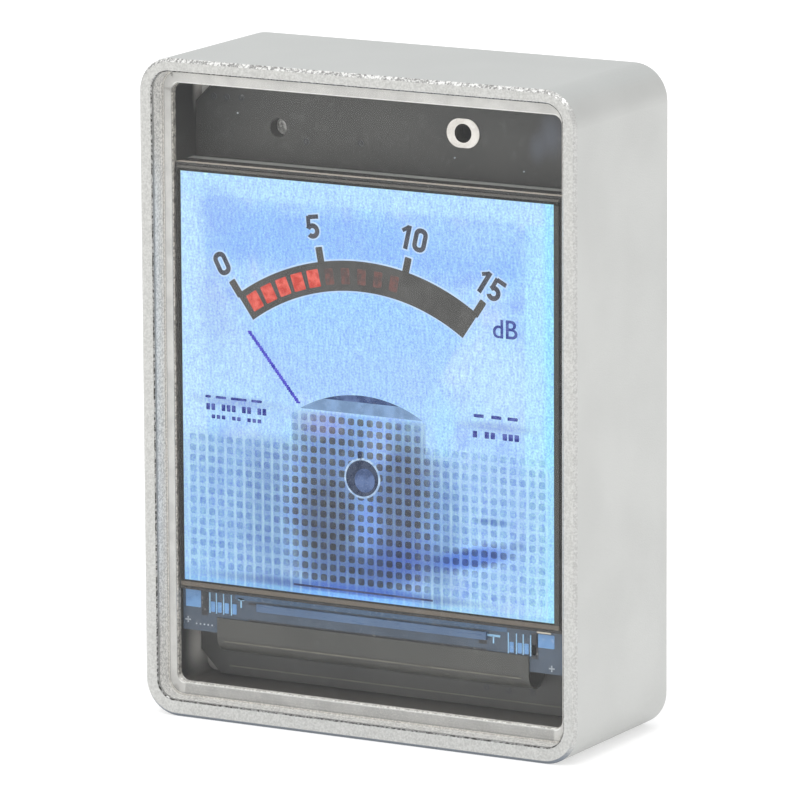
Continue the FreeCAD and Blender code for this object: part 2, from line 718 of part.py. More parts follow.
def make_socket():
    outer_width = "(sizes.socket_mouth_width + 2 * sizes.socket_wall)"
    outer_height = "(sizes.socket_mouth_height + 2 * sizes.socket_wall)"
    length = f"({case_depth} - sizes.socket_recess - {rear_depth})"
    start = (float(sheet.socket_mouth_width), float(sheet.socket_mouth_height))
    shell = new_body("usb_socket_shell", "0", rear_depth, "sizes.socket_up")
    outline = new_sketch(shell, "shell_outline")
    draw_slot(outline, outer_width, outer_height, *start)
    pad(shell, outline, length)
    mouth = new_sketch(shell, "shell_mouth")
    draw_slot(mouth, "sizes.socket_mouth_width", "sizes.socket_mouth_height", *start)
    pocket(shell, mouth, length)

    fit = "2 * sizes.socket_base_fit"
    core = new_body("usb_socket_tongue", "0", rear_depth, "sizes.socket_up")
    base = new_sketch(core, "core_base")
    draw_slot(base, f"(sizes.socket_mouth_width - {fit})", f"(sizes.socket_mouth_height - {fit})", *start)
    pad(core, base, "sizes.socket_base")
    tongue = new_sketch(core, "core_tongue", back="sizes.socket_base")
    draw_rectangle(tongue, "sizes.tongue_width", "sizes.tongue_thickness")
    pad(core, tongue, f"{length} - sizes.socket_base - sizes.tongue_recess")

    strips = []
    size = ("sizes.contact_width", "sizes.contact_length", "sizes.contact_thickness")
    above = "(sizes.socket_up + sizes.tongue_thickness / 2)"
    below = "(sizes.socket_up - sizes.tongue_thickness / 2 - sizes.contact_thickness)"
    for index in range(int(sheet.contact_count)):
        across = f"(({index} - (sizes.contact_count - 1) / 2) * sizes.contact_pitch)"
        for name, up in (("upper", above), ("lower", below)):
            label = f"{name}_contact_{index + 1}"
            strips.append(block(label, size, across, f"({rear_depth} + sizes.socket_base)", up))
    return [shell, core, group("usb_contacts", strips)]


# Push buttons: base, plate and dome stay on the board, stem and cap travel

def round_body(label, across, up, steps):
    # A turned piece: discs of a diameter between two depths, the first one in front
    origin = steps[0][1]
    body = new_body(label, across, origin, up)
    for index, (diameter, begin, end) in enumerate(steps, start=1):
        disc = new_sketch(body, f"{label}_disc_{index}", back=f"({begin} - {origin})")
        draw_circle(disc, diameter)
        pad(body, disc, f"{end} - {begin}")
    return body


def make_dome(label, across, up):
    cones = []
    for name, sink in (("outside", "0"), ("inside", "sizes.dome_thickness")):
        cone = document.addObject("Part::Cone", f"{label}_{name}")
        cone.Placement.Rotation = FreeCAD.Rotation(FreeCAD.Vector(1, 0, 0), -90)
        bind(cone, {
            "Radius1": "sizes.dome_diameter / 2",
            "Radius2": "sizes.dome_top_diameter / 2",
            "Height": "sizes.dome_height",
        })
        place(cone, across, f"({dome_depth} - {sink})", up)
        cones.append(cone)
    dome = document.addObject("Part::Cut", label)
    dome.Label = label
    dome.Base, dome.Tool = cones
    return dome


def make_button(name, across):
    up = "sizes.socket_up"
    side = "sizes.switch_side"
    base = plate(name + "_switch_base", (side, "sizes.switch_base_thickness", side),
                 across, rear_depth, up, "sizes.chip_corner")[0]
    well_floor = f"({dome_depth} - {rear_depth})"
    well = new_sketch(base, name + "_well", back=well_floor)
    draw_circle(well, "sizes.well_diameter")
    pocket(base, well, f"sizes.switch_base_thickness - {well_floor}")

    plate_depth = f"({rear_depth} + sizes.switch_base_thickness)"
    cover = plate(name + "_switch_plate", (side, "sizes.switch_plate_thickness", side),
                  across, plate_depth, up, "sizes.chip_corner")[0]
    opening = new_sketch(cover, name + "_stem_hole")
    draw_circle(opening, stem_hole)
    pocket(cover, opening, "sizes.switch_plate_thickness")

    dome = make_dome(name + "_switch_dome", across, up)
    flange_end = f"({stem_flange_depth} + sizes.stem_flange_thickness)"
    stem = round_body(name + "_switch_stem", across, up, [
        ("sizes.stem_flange_diameter", stem_flange_depth, flange_end),
        ("sizes.stem_diameter", flange_end, stem_end_depth),
    ])

    flange_back = f"({cap_flange_depth} + sizes.cap_flange_thickness)"
    cap = round_body(name + "_button", across, up, [
        ("sizes.cap_diameter", cap_skirt_depth, cap_flange_depth),
        ("sizes.cap_flange_diameter", cap_flange_depth, flange_back),
        ("sizes.cap_diameter", flange_back, cap_end_depth),
    ])
    body_end = cap.Tip.Shape.BoundBox.YMax
    end_disc = cap.Tip.Profile[0]
    soften(cap, cap.Tip, "Fillet", rim_edges(cap.Tip, body_end, end_disc), "sizes.cap_edge")
    bore = new_sketch(cap, name + "_stem_bore")
    draw_circle(bore, "sizes.stem_diameter + 2 * sizes.cap_fit")
    pocket(cap, bore, f"{stem_end_depth} - {cap_skirt_depth}")
    return [base, cover, dome, stem, cap]


# Back cover and its screws

def make_cover():
    gap = "2 * sizes.cover_clearance"
    size = (f"({opening_width} - {gap})", "sizes.cover_thickness", f"({opening_height} - {gap})")
    corner = "sizes.cover_corner_radius - sizes.cover_clearance"
    body, feature, outline = plate("back_cover", size, "0", cover_depth, opening_middle, corner)
    rim = rim_edges(feature, float(sheet.cover_thickness), outline)
    soften(body, feature, "Chamfer", rim, "sizes.lip_chamfer")

    socket_level = f"(sizes.socket_up - {opening_middle})"
    socket = new_sketch(body, "socket_opening", up=socket_level)
    surround = "2 * (sizes.socket_wall + sizes.socket_gap)"
    start = (float(sheet.socket_mouth_width), float(sheet.socket_mouth_height))
    draw_slot(socket, f"(sizes.socket_mouth_width + {surround})",
              f"(sizes.socket_mouth_height + {surround})", *start)
    pocket(body, socket, "sizes.cover_thickness")

    button_hole = "sizes.cap_diameter + 2 * sizes.cap_clearance"
    for side, across in button_places():
        hole = new_sketch(body, side + "_button_hole", across, "0", socket_level)
        draw_circle(hole, button_hole)
        pocket(body, hole, "sizes.cover_thickness")

    for index in range(int(sheet.sound_hole_count)):
        shift = f"({index} - (sizes.sound_hole_count - 1) / 2) * sizes.sound_hole_pitch"
        hole = new_sketch(body, f"sound_hole_{index + 1}", f"sizes.port_x + {shift}", "0",
                          f"({port_up} - {opening_middle})")
        draw_circle(hole, "sizes.sound_hole_diameter")
        pocket(body, hole, "sizes.cover_thickness")

    seat = f"({screw_seat_depth} - {cover_depth})"
    for name, across, up in screw_places():
        hole = new_sketch(body, "screw_hole_" + name, across, "0", up)
        draw_circle(hole, "sizes.screw_diameter + 2 * sizes.screw_clearance")
        pocket(body, hole, "sizes.cover_thickness")
        bore = new_sketch(body, "screw_seat_" + name, across, seat, up)
        draw_circle(bore, "sizes.screw_head_diameter + 2 * sizes.screw_clearance")
        pocket(body, bore, f"sizes.cover_thickness - {seat}")
    return body


def button_places():
    return [("mode", "-sizes.button_spacing / 2"), ("level", "sizes.button_spacing / 2")]


def turned_length(label, radius, end_radius, length, across, depth, up):
    piece = document.addObject("Part::Cone", label)
    piece.Placement.Rotation = FreeCAD.Rotation(FreeCAD.Vector(1, 0, 0), -90)
    bind(piece, {"Radius1": radius, "Radius2": end_radius, "Height": length})
    place(piece, across, depth, up)
    return piece


def make_screw(name, across, up):
    shank_radius = "sizes.screw_diameter / 2"
    head_radius = "sizes.screw_head_diameter / 2"
    bevel = "sizes.screw_head_bevel"
    shank = document.addObject("Part::Cylinder", "shank_" + name)
    shank.Placement.Rotation = FreeCAD.Rotation(FreeCAD.Vector(1, 0, 0), -90)
    bind(shank, {"Radius": shank_radius, "Height": "sizes.screw_length"})
    place(shank, across, screw_tip_depth, up)
    head = document.addObject("Part::Cylinder", "head_" + name)
    head.Placement.Rotation = FreeCAD.Rotation(FreeCAD.Vector(1, 0, 0), -90)
    bind(head, {"Radius": head_radius, "Height": f"sizes.screw_head_height - {bevel}"})
    place(head, across, screw_seat_depth, up)
    crown_depth = f"({screw_seat_depth} + sizes.screw_head_height - {bevel})"
    crown = turned_length("crown_" + name, head_radius, f"{head_radius} - {bevel}", bevel,
                          across, crown_depth, up)
    blank = document.addObject("Part::MultiFuse", "blank_" + name)
    blank.Shapes = [shank, head, crown]

    drive_depth = f"({case_depth} - sizes.screw_sink - sizes.drive_depth)"
    bars = []
    long_side = "sizes.drive_length"
    short_side = "sizes.drive_width"
    both_ways = [(long_side, short_side), (short_side, long_side)]
    for index, (width, height) in enumerate(both_ways, start=1):
        size = (width, "sizes.drive_depth", height)
        bars.append(block(f"drive_{name}_{index}", size, across, drive_depth, f"({up} - {height} / 2)"))
    cross = document.addObject("Part::MultiFuse", "cross_" + name)
    cross.Shapes = bars
    screw = document.addObject("Part::Cut", "screw_" + name)
    screw.Base = blank
    screw.Tool = cross
    return screw


def make_screws():
    screws = []
    for name, across, up in screw_places():
        screws.append(make_screw(name, across, f"({opening_middle} + {up})"))
    return group("cover_screws", screws)


# The whole meter, checked and written out

nodes = [make_case(), make_window(), make_adhesive()]
nodes += make_display_glass()
nodes += [make_driver(), make_flex()]
nodes += make_backlight()
nodes += [make_tape(), make_board(), make_eyelet()]
nodes += make_microphone()
nodes += make_chips()
nodes += make_small_parts()
nodes += make_socket()
for button_name, button_across in button_places():
    nodes += make_button(button_name, button_across)
nodes += [make_cover(), make_screws()]
document.recompute()

for item in document.Objects:
    if "Invalid" in item.State or "Error" in item.State:
        raise RuntimeError(f"{item.Label} did not build: {item.State}")
for node in nodes:
    if node.Shape.isNull() or not node.Shape.isValid() or not node.Shape.Solids:
        raise RuntimeError(f"{node.Label} has no valid solid")

os.makedirs("parts", exist_ok=True)
for node in nodes:
    node.Shape.exportStep(f"parts/{node.Label}.step")
    print(f"{node.Label}: {len(node.Shape.Solids)} solids, {node.Shape.Volume:.3f} mm3")
print(f"{len(nodes)} sub-parts")
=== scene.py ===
import math
import bpy
from mathutils import Matrix, Vector


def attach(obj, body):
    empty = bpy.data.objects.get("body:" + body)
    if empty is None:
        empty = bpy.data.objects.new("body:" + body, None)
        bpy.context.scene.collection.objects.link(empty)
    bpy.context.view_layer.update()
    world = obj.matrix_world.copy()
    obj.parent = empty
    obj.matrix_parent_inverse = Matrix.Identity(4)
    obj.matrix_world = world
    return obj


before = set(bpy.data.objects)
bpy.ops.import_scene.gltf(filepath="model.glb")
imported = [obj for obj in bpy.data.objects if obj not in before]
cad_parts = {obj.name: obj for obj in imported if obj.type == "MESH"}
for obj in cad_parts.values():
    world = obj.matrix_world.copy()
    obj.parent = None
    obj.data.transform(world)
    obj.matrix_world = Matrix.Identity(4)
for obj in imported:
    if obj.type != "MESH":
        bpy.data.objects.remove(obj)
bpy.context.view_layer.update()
mm = 0.001               # sizes below are in millimetres, the scene is in metres
turn = math.radians
windowVeil = 0.042       # light that the two faces of the window add over what lies behind it
white, nearBlack = (1.0, 1.0, 1.0, 1.0), (0.01, 0.01, 0.01, 1.0)
drawing = {}             # holds the node tree that the helpers draw in, the one started last

# Colours


def tone(red, green, blue):      # a colour as a screen shows it, 0 to 255, made linear
    parts = [part / 255 for part in (red, green, blue)]
    return tuple(part / 12.92 if part < 0.04 else ((part + 0.055) / 1.055) ** 2.4 for part in parts) + (1.0,)


def litTone(red, green, blue):   # the same for something bright behind the window, less the window's veil
    parts = tone(red, green, blue)[:3]
    return tuple(max(0.0, (part - windowVeil) / (1 - windowVeil)) for part in parts) + (1.0,)


# Node helpers


def newNode(kind):
    return drawing["tree"].nodes.new("ShaderNode" + kind)


def feed(socket, value):
    if isinstance(value, bpy.types.NodeSocket):
        drawing["tree"].links.new(value, socket)
    else:
        socket.default_value = value


def calc(operation, *values):
    node = newNode("Math")
    node.operation = operation
    for socket, value in zip(node.inputs, values):
        feed(socket, value)
    return node.outputs[0]


def times(first, *others):       # the product of masks and amounts
    for other in others:
        first = calc("MULTIPLY", first, other)
    return first


def plus(first, second):
    return calc("ADD", first, second)


def less(first, second):
    return calc("SUBTRACT", first, second)


def most(first, *others):        # the greatest of some masks
    for other in others:
        first = calc("MAXIMUM", first, other)
    return first


def ramp(value, low, high, bottom=0.0, top=1.0, smooth=True):
    node = newNode("MapRange")
    node.interpolation_type = "SMOOTHSTEP" if smooth else "LINEAR"
    for socket, part in zip(node.inputs, (value, low, high, bottom, top)):
        feed(socket, part)
    return node.outputs[0]


def mixTone(amount, first, second, way="MIX"):
    node = newNode("Mix")
    node.data_type = "RGBA"
    node.blend_type = way
    for number, value in ((0, amount), (6, first), (7, second)):     # the sockets that a colour mix shows
        feed(node.inputs[number], value)
    return node.outputs[2]


def stretchPoint(point, stretch):
    node = newNode("VectorMath")
    node.operation = "MULTIPLY"
    feed(node.inputs[0], point)
    feed(node.inputs[1], stretch)
    return node.outputs[0]


def noise(point, scale, detail=2.0, roughness=0.5):
    node = newNode("TexNoise")
    for title, value in (("Vector", point), ("Scale", scale), ("Detail", detail), ("Roughness", roughness)):
        feed(node.inputs[title], value)
    return node.outputs[0]


def newGroup(name, inputs, outputs):
    tree = drawing["tree"] = bpy.data.node_groups.new(name, "ShaderNodeTree")
    for title, start in inputs.items():
        kind = "NodeSocketVector" if isinstance(start, tuple) else "NodeSocketFloat"
        tree.interface.new_socket(name=title, in_out="INPUT", socket_type=kind).default_value = start
    for title in outputs:
        kind = "NodeSocket" + {"Point": "Vector", "Color": "Color"}.get(title, "Float")
        tree.interface.new_socket(name=title, in_out="OUTPUT", socket_type=kind)
    return tree.nodes.new("NodeGroupInput").outputs, tree.nodes.new("NodeGroupOutput").inputs


def useGroup(group, **values):
    node = newNode("Group")
    node.node_tree = bpy.data.node_groups[group]
    for title, value in values.items():
        feed(node.inputs[title], value)
    return node.outputs


def boxMask(left, right, low, high, soft):
    return useGroup("softBox", Left=left, Right=right, Low=low, High=high, Soft=soft)["Mask"]


def spotMask(across, up, wide, high, lean=0.0, soft=0.5):
    return useGroup("softSpot", Across=across, Up=up, Wide=wide, High=high, Turn=turn(lean),
                    Soft=soft)["Mask"]


# Shared effects


def makePlaceGroup():            # where a point of the surface lies, in millimetres
    made = newGroup("placeOnPart", {}, ["Across", "Depth", "Up", "Point"])[1]
    point = stretchPoint(newNode("TexCoord").outputs["Object"], (1 / mm, 1 / mm, 1 / mm))
    parts = newNode("SeparateXYZ")
    feed(parts.inputs[0], point)
    for title, part in zip(("Across", "Depth", "Up", "Point"), (*parts.outputs, point)):
        feed(made[title], part)


def makeGrainGroup():            # fine grain, wide clouds and rare specks, for any surface
    given, made = newGroup("surfaceGrain", {"Size": 0.15, "Stretch": (1.0, 1.0, 1.0), "Cloud": 4.0},
                           ["Grain", "Cloudy", "Specks"])
    point = useGroup("placeOnPart")["Point"]
    fine = noise(stretchPoint(point, given["Stretch"]), calc("DIVIDE", 1.0, given["Size"]), 3.0)
    wide = noise(point, calc("DIVIDE", 1.0, given["Cloud"]))
    dots = noise(point, calc("DIVIDE", 0.45, given["Size"]), 0.0)
    feed(made["Grain"], fine)
    feed(made["Cloudy"], ramp(wide, 0.3, 0.7))
    feed(made["Specks"], ramp(dots, 0.7, 0.78))


def makeBoxGroup():              # an upright rectangle with soft edges
    given, made = newGroup("softBox", {"Left": -1.0, "Right": 1.0, "Low": -1.0, "High": 1.0, "Soft": 0.1},
                           ["Mask"])
    where = useGroup("placeOnPart")
    masks = []
    for axis, low, high in (("Across", "Left", "Right"), ("Up", "Low", "High")):
        for side, edge in ((1, low), (-1, high)):
            gap = times(less(where[axis], given[edge]), side)
            masks.append(ramp(gap, times(given["Soft"], -1.0), given["Soft"]))
    feed(made["Mask"], times(*masks))


def makeSpotGroup():             # a soft oval, turned by an angle
    given, made = newGroup("softSpot", {"Across": 0.0, "Up": 0.0, "Wide": 1.0, "High": 1.0, "Turn": 0.0,
                                        "Soft": 0.5}, ["Mask"])
    where = useGroup("placeOnPart")
    right, above = less(where["Across"], given["Across"]), less(where["Up"], given["Up"])
    swing, hold = calc("SINE", given["Turn"]), calc("COSINE", given["Turn"])
    along = calc("MULTIPLY_ADD", right, hold, times(above, swing))
    over = less(times(above, hold), times(right, swing))
    squares = [calc("POWER", calc("ABSOLUTE", calc("DIVIDE", part, given[size])), 2.0)
               for part, size in ((along, "Wide"), (over, "High"))]
    reach = calc("SQRT", plus(*squares))
    feed(made["Mask"], less(1.0, ramp(reach, less(1.0, given["Soft"]), plus(1.0, given["Soft"]))))


def makeRimGroup():              # how far a point lies outside a rounded rectangle, and whether inside it
    given, made = newGroup("rimLine", {"Middle": 22.1, "Half Wide": 15.0, "Half High": 21.0, "Corner": 2.0},
                           ["Inside", "Distance"])
    where = useGroup("placeOnPart")
    side = less(calc("ABSOLUTE", where["Across"]), less(given["Half Wide"], given["Corner"]))
    rise = calc("ABSOLUTE", less(where["Up"], given["Middle"]))
    rise = less(rise, less(given["Half High"], given["Corner"]))
    bend = calc("SQRT", plus(*[calc("POWER", most(part, 0.0), 2.0) for part in (side, rise)]))
    flat = calc("MINIMUM", most(side, rise), 0.0)
    reach = less(plus(bend, flat), given["Corner"])
    feed(made["Distance"], reach)
    feed(made["Inside"], ramp(reach, -0.02, 0.02, 1.0, 0.0))


def makeFacingGroup():           # which way a face looks
    made = newGroup("facing", {}, ["Front", "Top", "Slant", "Side", "Right", "Rise", "Fall", "Back"])[1]
    parts = newNode("SeparateXYZ")
    feed(parts.inputs[0], newNode("NewGeometry").outputs["True Normal"])
    right, back, up = parts.outputs
    away = calc("ABSOLUTE", back)
    masks = {
        "Front": ramp(times(back, -1.0), 0.9, 0.97), "Back": ramp(back, 0.3, 0.6),
        "Top": ramp(up, 0.5, 0.9), "Rise": ramp(up, 0.25, 0.6), "Fall": ramp(up, -0.25, -0.6),
        "Right": ramp(right, 0.2, 0.6), "Side": ramp(away, 0.1, 0.2, 1.0, 0.0),
        "Slant": times(ramp(away, 0.2, 0.4), ramp(away, 0.9, 0.97, 1.0, 0.0)),      # as a chamfer looks
    }
    for title, mask in masks.items():
        feed(made[title], mask)


# The lit picture: one glow, laid up from soft patches, that the screen and its dots share

dialArc = {"across": -0.49, "up": 16.01, "inner": 13.65, "outer": 15.64, "left": -35.9, "right": 34.3,
           "steps": 72}
dialGlow = {     # a box is left, right, low, high, soft; a spot is across, up, wide, high, lean, soft
    "base": (172, 213, 251), "violet": (150, 184, 248), "lilac": (192, 216, 252), "cyan": (172, 226, 253),
    "blotchSize": 1.9, "streakSize": 0.16, "streakStretch": (1.0, 1.0, 0.3), "streak": 0.8, "fine": 1.15,
    "fanDrop": 0.6, "fanLeft": (-35.0, -33.0), "fanRight": (34.0, 32.0), "fanFoot": (21.6, 23.0),
    "fanSoft": 0.4, "fan": 0.85,
    "skyLow": (166, 206, 250), "skyHigh": (160, 208, 252), "skyRise": (23.0, 30.0),
    "panelMiddle": (-5.6, 4.4, 9.9, 21.35, 0.10), "panelSides": (19.8, 18.6),
    "darkest": (-0.5, 14.9, 5.7, 7.4, 0.0, 0.22), "smear": (7.9, 12.75, 2.9, 0.9, 13.0, 0.5),
}
glowBoxes = [    # box, colour, amount
    (-15.0, 15.0, 35.1, 38.0, 0.12, (182, 224, 252), 0.85),
    (-15.0, -12.1, 8.0, 35.1, 0.12, (190, 228, 253), 0.80),
    (11.75, 15.0, 8.0, 35.1, 0.12, (178, 230, 253), 0.85),
    (13.2, 15.0, 8.0, 38.0, 0.35, (150, 226, 252), 0.70),
    (-12.1, 11.75, 31.0, 34.6, 1.10, (144, 189, 249), 0.82),
    (-15.0, -3.0, 8.0, 10.05, 0.35, (110, 162, 228), 0.95),
    (-3.0, 5.8, 8.0, 10.05, 0.35, (112, 158, 216), 0.75),
]
glowSpots = [    # spot, colour, amount
    (-11.2, 34.2, 1.6, 1.6, 0.0, 0.6, (152, 188, 247), 0.55),
    (-10.6, 24.6, 2.6, 4.2, 20.0, 0.7, (182, 220, 251), 0.75),
    (-11.3, 28.4, 1.3, 3.5, 0.0, 0.7, (150, 176, 240), 0.35),
    (9.3, 24.6, 3.2, 2.8, -20.0, 0.6, (192, 228, 252), 0.70),
    (8.4, 33.8, 3.2, 1.4, 0.0, 0.8, (170, 212, 250), 0.60),
    (-9.9, 21.4, 2.7, 0.34, 0.0, 0.7, (140, 164, 222), 0.60),
    (9.6, 21.6, 2.3, 0.30, 0.0, 0.7, (140, 164, 222), 0.60),
    (-7.2, 25.0, 0.5, 3.0, 40.0, 0.8, (150, 190, 246), 0.50),
]
panelSpots = [   # the same, for the picture of a fluted panel, darker in its middle
    (-9.9, 15.2, 4.6, 6.4, 0.0, 0.6, (142, 180, 228), 0.85),
    (9.4, 15.2, 4.4, 6.0, 0.0, 0.6, (156, 194, 242), 0.70),
    (-12.9, 12.0, 1.6, 4.0, 0.0, 0.7, (150, 194, 240), 0.60),
    (-7.4, 14.4, 1.8, 5.0, 0.0, 0.7, (118, 152, 200), 0.80),
    (5.4, 14.4, 1.5, 4.8, 0.0, 0.7, (108, 144, 196), 0.75),
    (-0.6, 15.6, 5.2, 6.6, 0.0, 0.35, (112, 138, 182), 0.90),
    (-3.0, 14.0, 2.2, 3.9, 0.0, 0.6, (84, 94, 118), 0.90),
    (2.6, 16.0, 2.0, 4.8, -8.0, 0.6, (90, 102, 130), 0.85),
    (-3.2, 19.2, 2.4, 1.9, 0.0, 0.6, (104, 126, 166), 0.65),
    (0.1, 14.2, 1.0, 1.7, 0.0, 0.6, (112, 142, 206), 0.55),
    (2.2, 11.6, 3.4, 1.5, 12.0, 0.7, (66, 84, 148), 0.80),
    (-1.8, 10.8, 3.6, 1.2, 0.0, 0.6, (80, 98, 138), 0.65),
    (-3.4, 20.6, 1.6, 0.8, 0.0, 0.7, (160, 160, 208), 0.50),
    (0.9, 19.6, 0.9, 1.4, 0.0, 0.6, (160, 182, 222), 0.45),
    (7.9, 12.75, 2.7, 0.66, 13.0, 0.5, (48, 92, 184), 0.86),
    (9.4, 15.3, 1.2, 0.22, 0.0, 0.5, (84, 120, 184), 0.60),
    (11.2, 13.9, 0.5, 0.3, 0.0, 0.6, (110, 140, 190), 0.50),
]
footSpot = (-1.6, 9.68, 8.4, 0.32, 0.0, 0.6, (72, 98, 164), 0.85)
footGlint = (-13.9, 13.8, 9.05, 9.36, 0.06, (128, 190, 240), 0.40)


def makeGlowGroup():
    look = dialGlow
    made = newGroup("dialGlow", {}, ["Color", "Panel", "Dark"])[1]
    where = useGroup("placeOnPart")
    point, up = where["Point"], where["Up"]

    def layOver(colour, mask, shade, amount):
        return mixTone(times(mask, amount), colour, litTone(*shade))

    blotch = noise(point, 1 / look["blotchSize"], 3.0)
    other = noise(stretchPoint(point, (-1.0, 1.0, 0.7)), 0.8 / look["blotchSize"])
    colour = litTone(*look["base"])
    blotches = [(blotch, 0.48, 0.72, 0.7, "violet"), (other, 0.5, 0.75, 0.7, "lilac"),
                (other, 0.5, 0.28, 0.6, "cyan")]
    for value, low, high, amount, shade in blotches:
        colour = mixTone(ramp(value, low, high, 0.0, amount), colour, litTone(*look[shade]))
    for *box, shade, amount in glowBoxes:
        colour = layOver(colour, boxMask(*box), shade, amount)
    for *spot, shade, amount in glowSpots:
        colour = layOver(colour, spotMask(*spot), shade, amount)

    right = less(where["Across"], dialArc["across"])     # the fan under the arc, smoother than the rest
    above = less(up, dialArc["up"] - look["fanDrop"])
    swing = calc("ARCTAN2", right, above)
    fan = times(*[ramp(swing, *map(turn, look[side])) for side in ("fanLeft", "fanRight")])
    reach = calc("SQRT", plus(calc("POWER", right, 2.0), calc("POWER", above, 2.0)))
    fan = times(fan, ramp(reach, dialArc["outer"], dialArc["outer"] + look["fanSoft"], 1.0, 0.0),
                ramp(up, *look["fanFoot"]))
    sky = mixTone(ramp(up, *look["skyRise"]), litTone(*look["skyLow"]), litTone(*look["skyHigh"]))
    colour = mixTone(times(fan, look["fan"]), colour, sky)

    panel = most(boxMask(*look["panelMiddle"]), ramp(up, *look["panelSides"]))
    for *spot, shade, amount in panelSpots:
        colour = mixTone(times(spotMask(*spot), amount, panel), colour, litTone(*shade))
    colour = layOver(colour, spotMask(*footSpot[:-2]), *footSpot[-2:])
    colour = layOver(colour, boxMask(*footGlint[:-2]), *footGlint[-2:])

    streak = noise(stretchPoint(point, look["streakStretch"]), 1 / look["streakSize"], 3.0)
    shake = calc("MULTIPLY_ADD", less(streak, 0.5), look["streak"], 1.0)
    shake = calc("MULTIPLY_ADD", less(noise(point, 7.0), 0.5), look["fine"], shake)
    lift = newNode("CombineColor")
    for socket, value in zip(lift.inputs, (shake, shake, calc("MULTIPLY_ADD", less(streak, 0.5), 0.1, 1.0))):
        feed(socket, value)
    feed(made["Color"], mixTone(1.0, colour, lift.outputs[0], "MULTIPLY"))
    feed(made["Panel"], panel)
    feed(made["Dark"], most(spotMask(*look["darkest"]), times(spotMask(*look["smear"]), 0.6)))


for build in (makePlaceGroup, makeGrainGroup, makeBoxGroup, makeSpotGroup, makeRimGroup, makeFacingGroup,
              makeGlowGroup):
    build()
print("shared effects made")

# Materials


def newMaterial(name, values):
    material = bpy.data.materials.new(name)
    material.use_nodes = True
    drawing["tree"] = material.node_tree
    shader = material.node_tree.nodes["Principled BSDF"]
    for title, value in values.items():
        shader.inputs[title].default_value = value
    return material, shader.inputs


def addBump(sockets, height, depth):
    bump = newNode("Bump")
    bump.inputs["Strength"].default_value = 1.0
    bump.inputs["Distance"].default_value = depth * mm
    feed(bump.inputs["Height"], height)
    feed(sockets["Normal"], bump.outputs[0])


def cloudy(grain, clouds):       # clouds and fine grain in one, by the share of the clouds
    return calc("MULTIPLY_ADD", grain["Cloudy"], clouds, times(grain["Grain"], 1 - clouds))


def plainFinish(name, dark, light, size, cloud, rough, more=None):    # two tones in clouds, with grain
    look = more or {}
    material, sockets = newMaterial(name, {"Metallic": look.get("metal", 0.0),
                                           "Specular IOR Level": look.get("shine", 0.5)})
    grain = useGroup("surfaceGrain", Size=size, Stretch=look.get("stretch", (1.0, 1.0, 1.0)), Cloud=cloud)
    colour = mixTone(cloudy(grain, 0.5), tone(*dark), tone(*light))
    colour = mixTone(times(grain["Specks"], look.get("specks", 0.1)), colour, white)
    for shade, depth in look.get("tops", ()):        # painted highlights and darker tones on cut edges that face up, from a depth on
        where = useGroup("placeOnPart")["Depth"]
        mask = times(useGroup("facing")["Top"], ramp(where, depth - 0.03, depth))
        colour = mixTone(mask, colour, tone(*shade))
    for low, high, shade, amount in look.get("rimShadeAndGlint", ()):     # painted shade and highlights in lines round the opening, by distance
        reach = useGroup("rimLine", **caseLook["recess"])["Distance"]
        mask = times(ramp(reach, low - 0.04, low + 0.04), ramp(reach, high - 0.04, high + 0.04, 1.0, 0.0))
        colour = mixTone(times(mask, amount), colour, tone(*shade))
    if "right" in look:          # a tone for cut edges that face right, a painted highlight on the filter glass
        colour = mixTone(useGroup("facing")["Right"], colour, tone(*look["right"]))
    for *spot, shade, amount in look.get("spots", ()):
        colour = mixTone(times(spotMask(*spot), amount), colour, tone(*shade))
    feed(sockets["Base Color"], colour)
    feed(sockets["Roughness"], ramp(grain["Grain"], 0.25, 0.75, *rough, smooth=False))
    if look.get("bump", 0.01):
        addBump(sockets, grain["Grain"], look.get("bump", 0.01))
    return material


def glowFinish(name, dark, light, size, cloud):      # ink on the lit picture shines in its own colour
    material, sockets = newMaterial(name, {"Base Color": nearBlack, "Emission Strength": 1.0,
                                           "Specular IOR Level": 0.0, "Roughness": 0.8})
    mixed = cloudy(useGroup("surfaceGrain", Size=size, Cloud=cloud), 0.6)
    feed(sockets["Emission Color"], mixTone(ramp(mixed, 0.2, 0.8), litTone(*dark), litTone(*light)))
    return material


caseLook = {
    "body": ((189, 190, 188), (200, 201, 199)), "front": ((183, 183, 180), (205, 205, 202)),
    # top: painted shade, a slightly darker tone for the faces that look up
    "top": (196, 200, 199),
    # chamfer tones: painted glints for chamfers that face up, a quieter mix for the rest
    "risingGlint": ((148, 148, 146), (236, 236, 234)), "quiet": ((174, 174, 172), (202, 202, 200)),
    # under: painted shade for chamfers that face down; lip: dark, jagged painted shade on the chamfer of the
    # recess's lip
    "under": (130, 136, 144), "lip": ((58, 58, 56), (176, 176, 174)),
    # opening and catch: painted shade and painted glints for the chamfers of the opening
    "opening": ((120, 117, 112), (200, 196, 188)), "catch": ((196, 193, 187), (255, 253, 248)),
    # the wall's second tone is painted shade on its strip in front of the window
    "wall": ((192, 191, 188), (244, 243, 239)), "wallFrontShade": (112, 111, 109),
    # the ledge's second tone is painted shade along the crease where it meets the wall
    "ledge": ((216, 213, 208), (255, 252, 246)), "creaseShade": (128, 126, 122),
    # inside: the dark inside of the case; floor, post and caught: painted light on it
    "inside": ((12, 12, 11), (28, 28, 26)), "floor": (66, 62, 57), "post": (250, 250, 246),
    "caught": (236, 233, 226),
    "grain": 0.11, "cloud": 7.0, "blast": 7.5, "squiggle": 5.0, "bump": 0.018, "rough": (0.38, 0.50),
    "recess": {"Half Wide": 15.45, "Half High": 21.3, "Middle": 22.235, "Corner": 1.4},
    "ledgeDepth": -5.05, "edgeDepth": -4.62, "windowDepth": -6.22, "postDepth": -1.2,
    "postLight": (-13.6, 3.9, 0.9, 1.6, -20.0, 0.8),
    "wallLights": [(4.3, 1.5, -4.3, -2.0), (41.9, 1.3, -2.6, -1.6)],     # up, high, from and to in depth
}


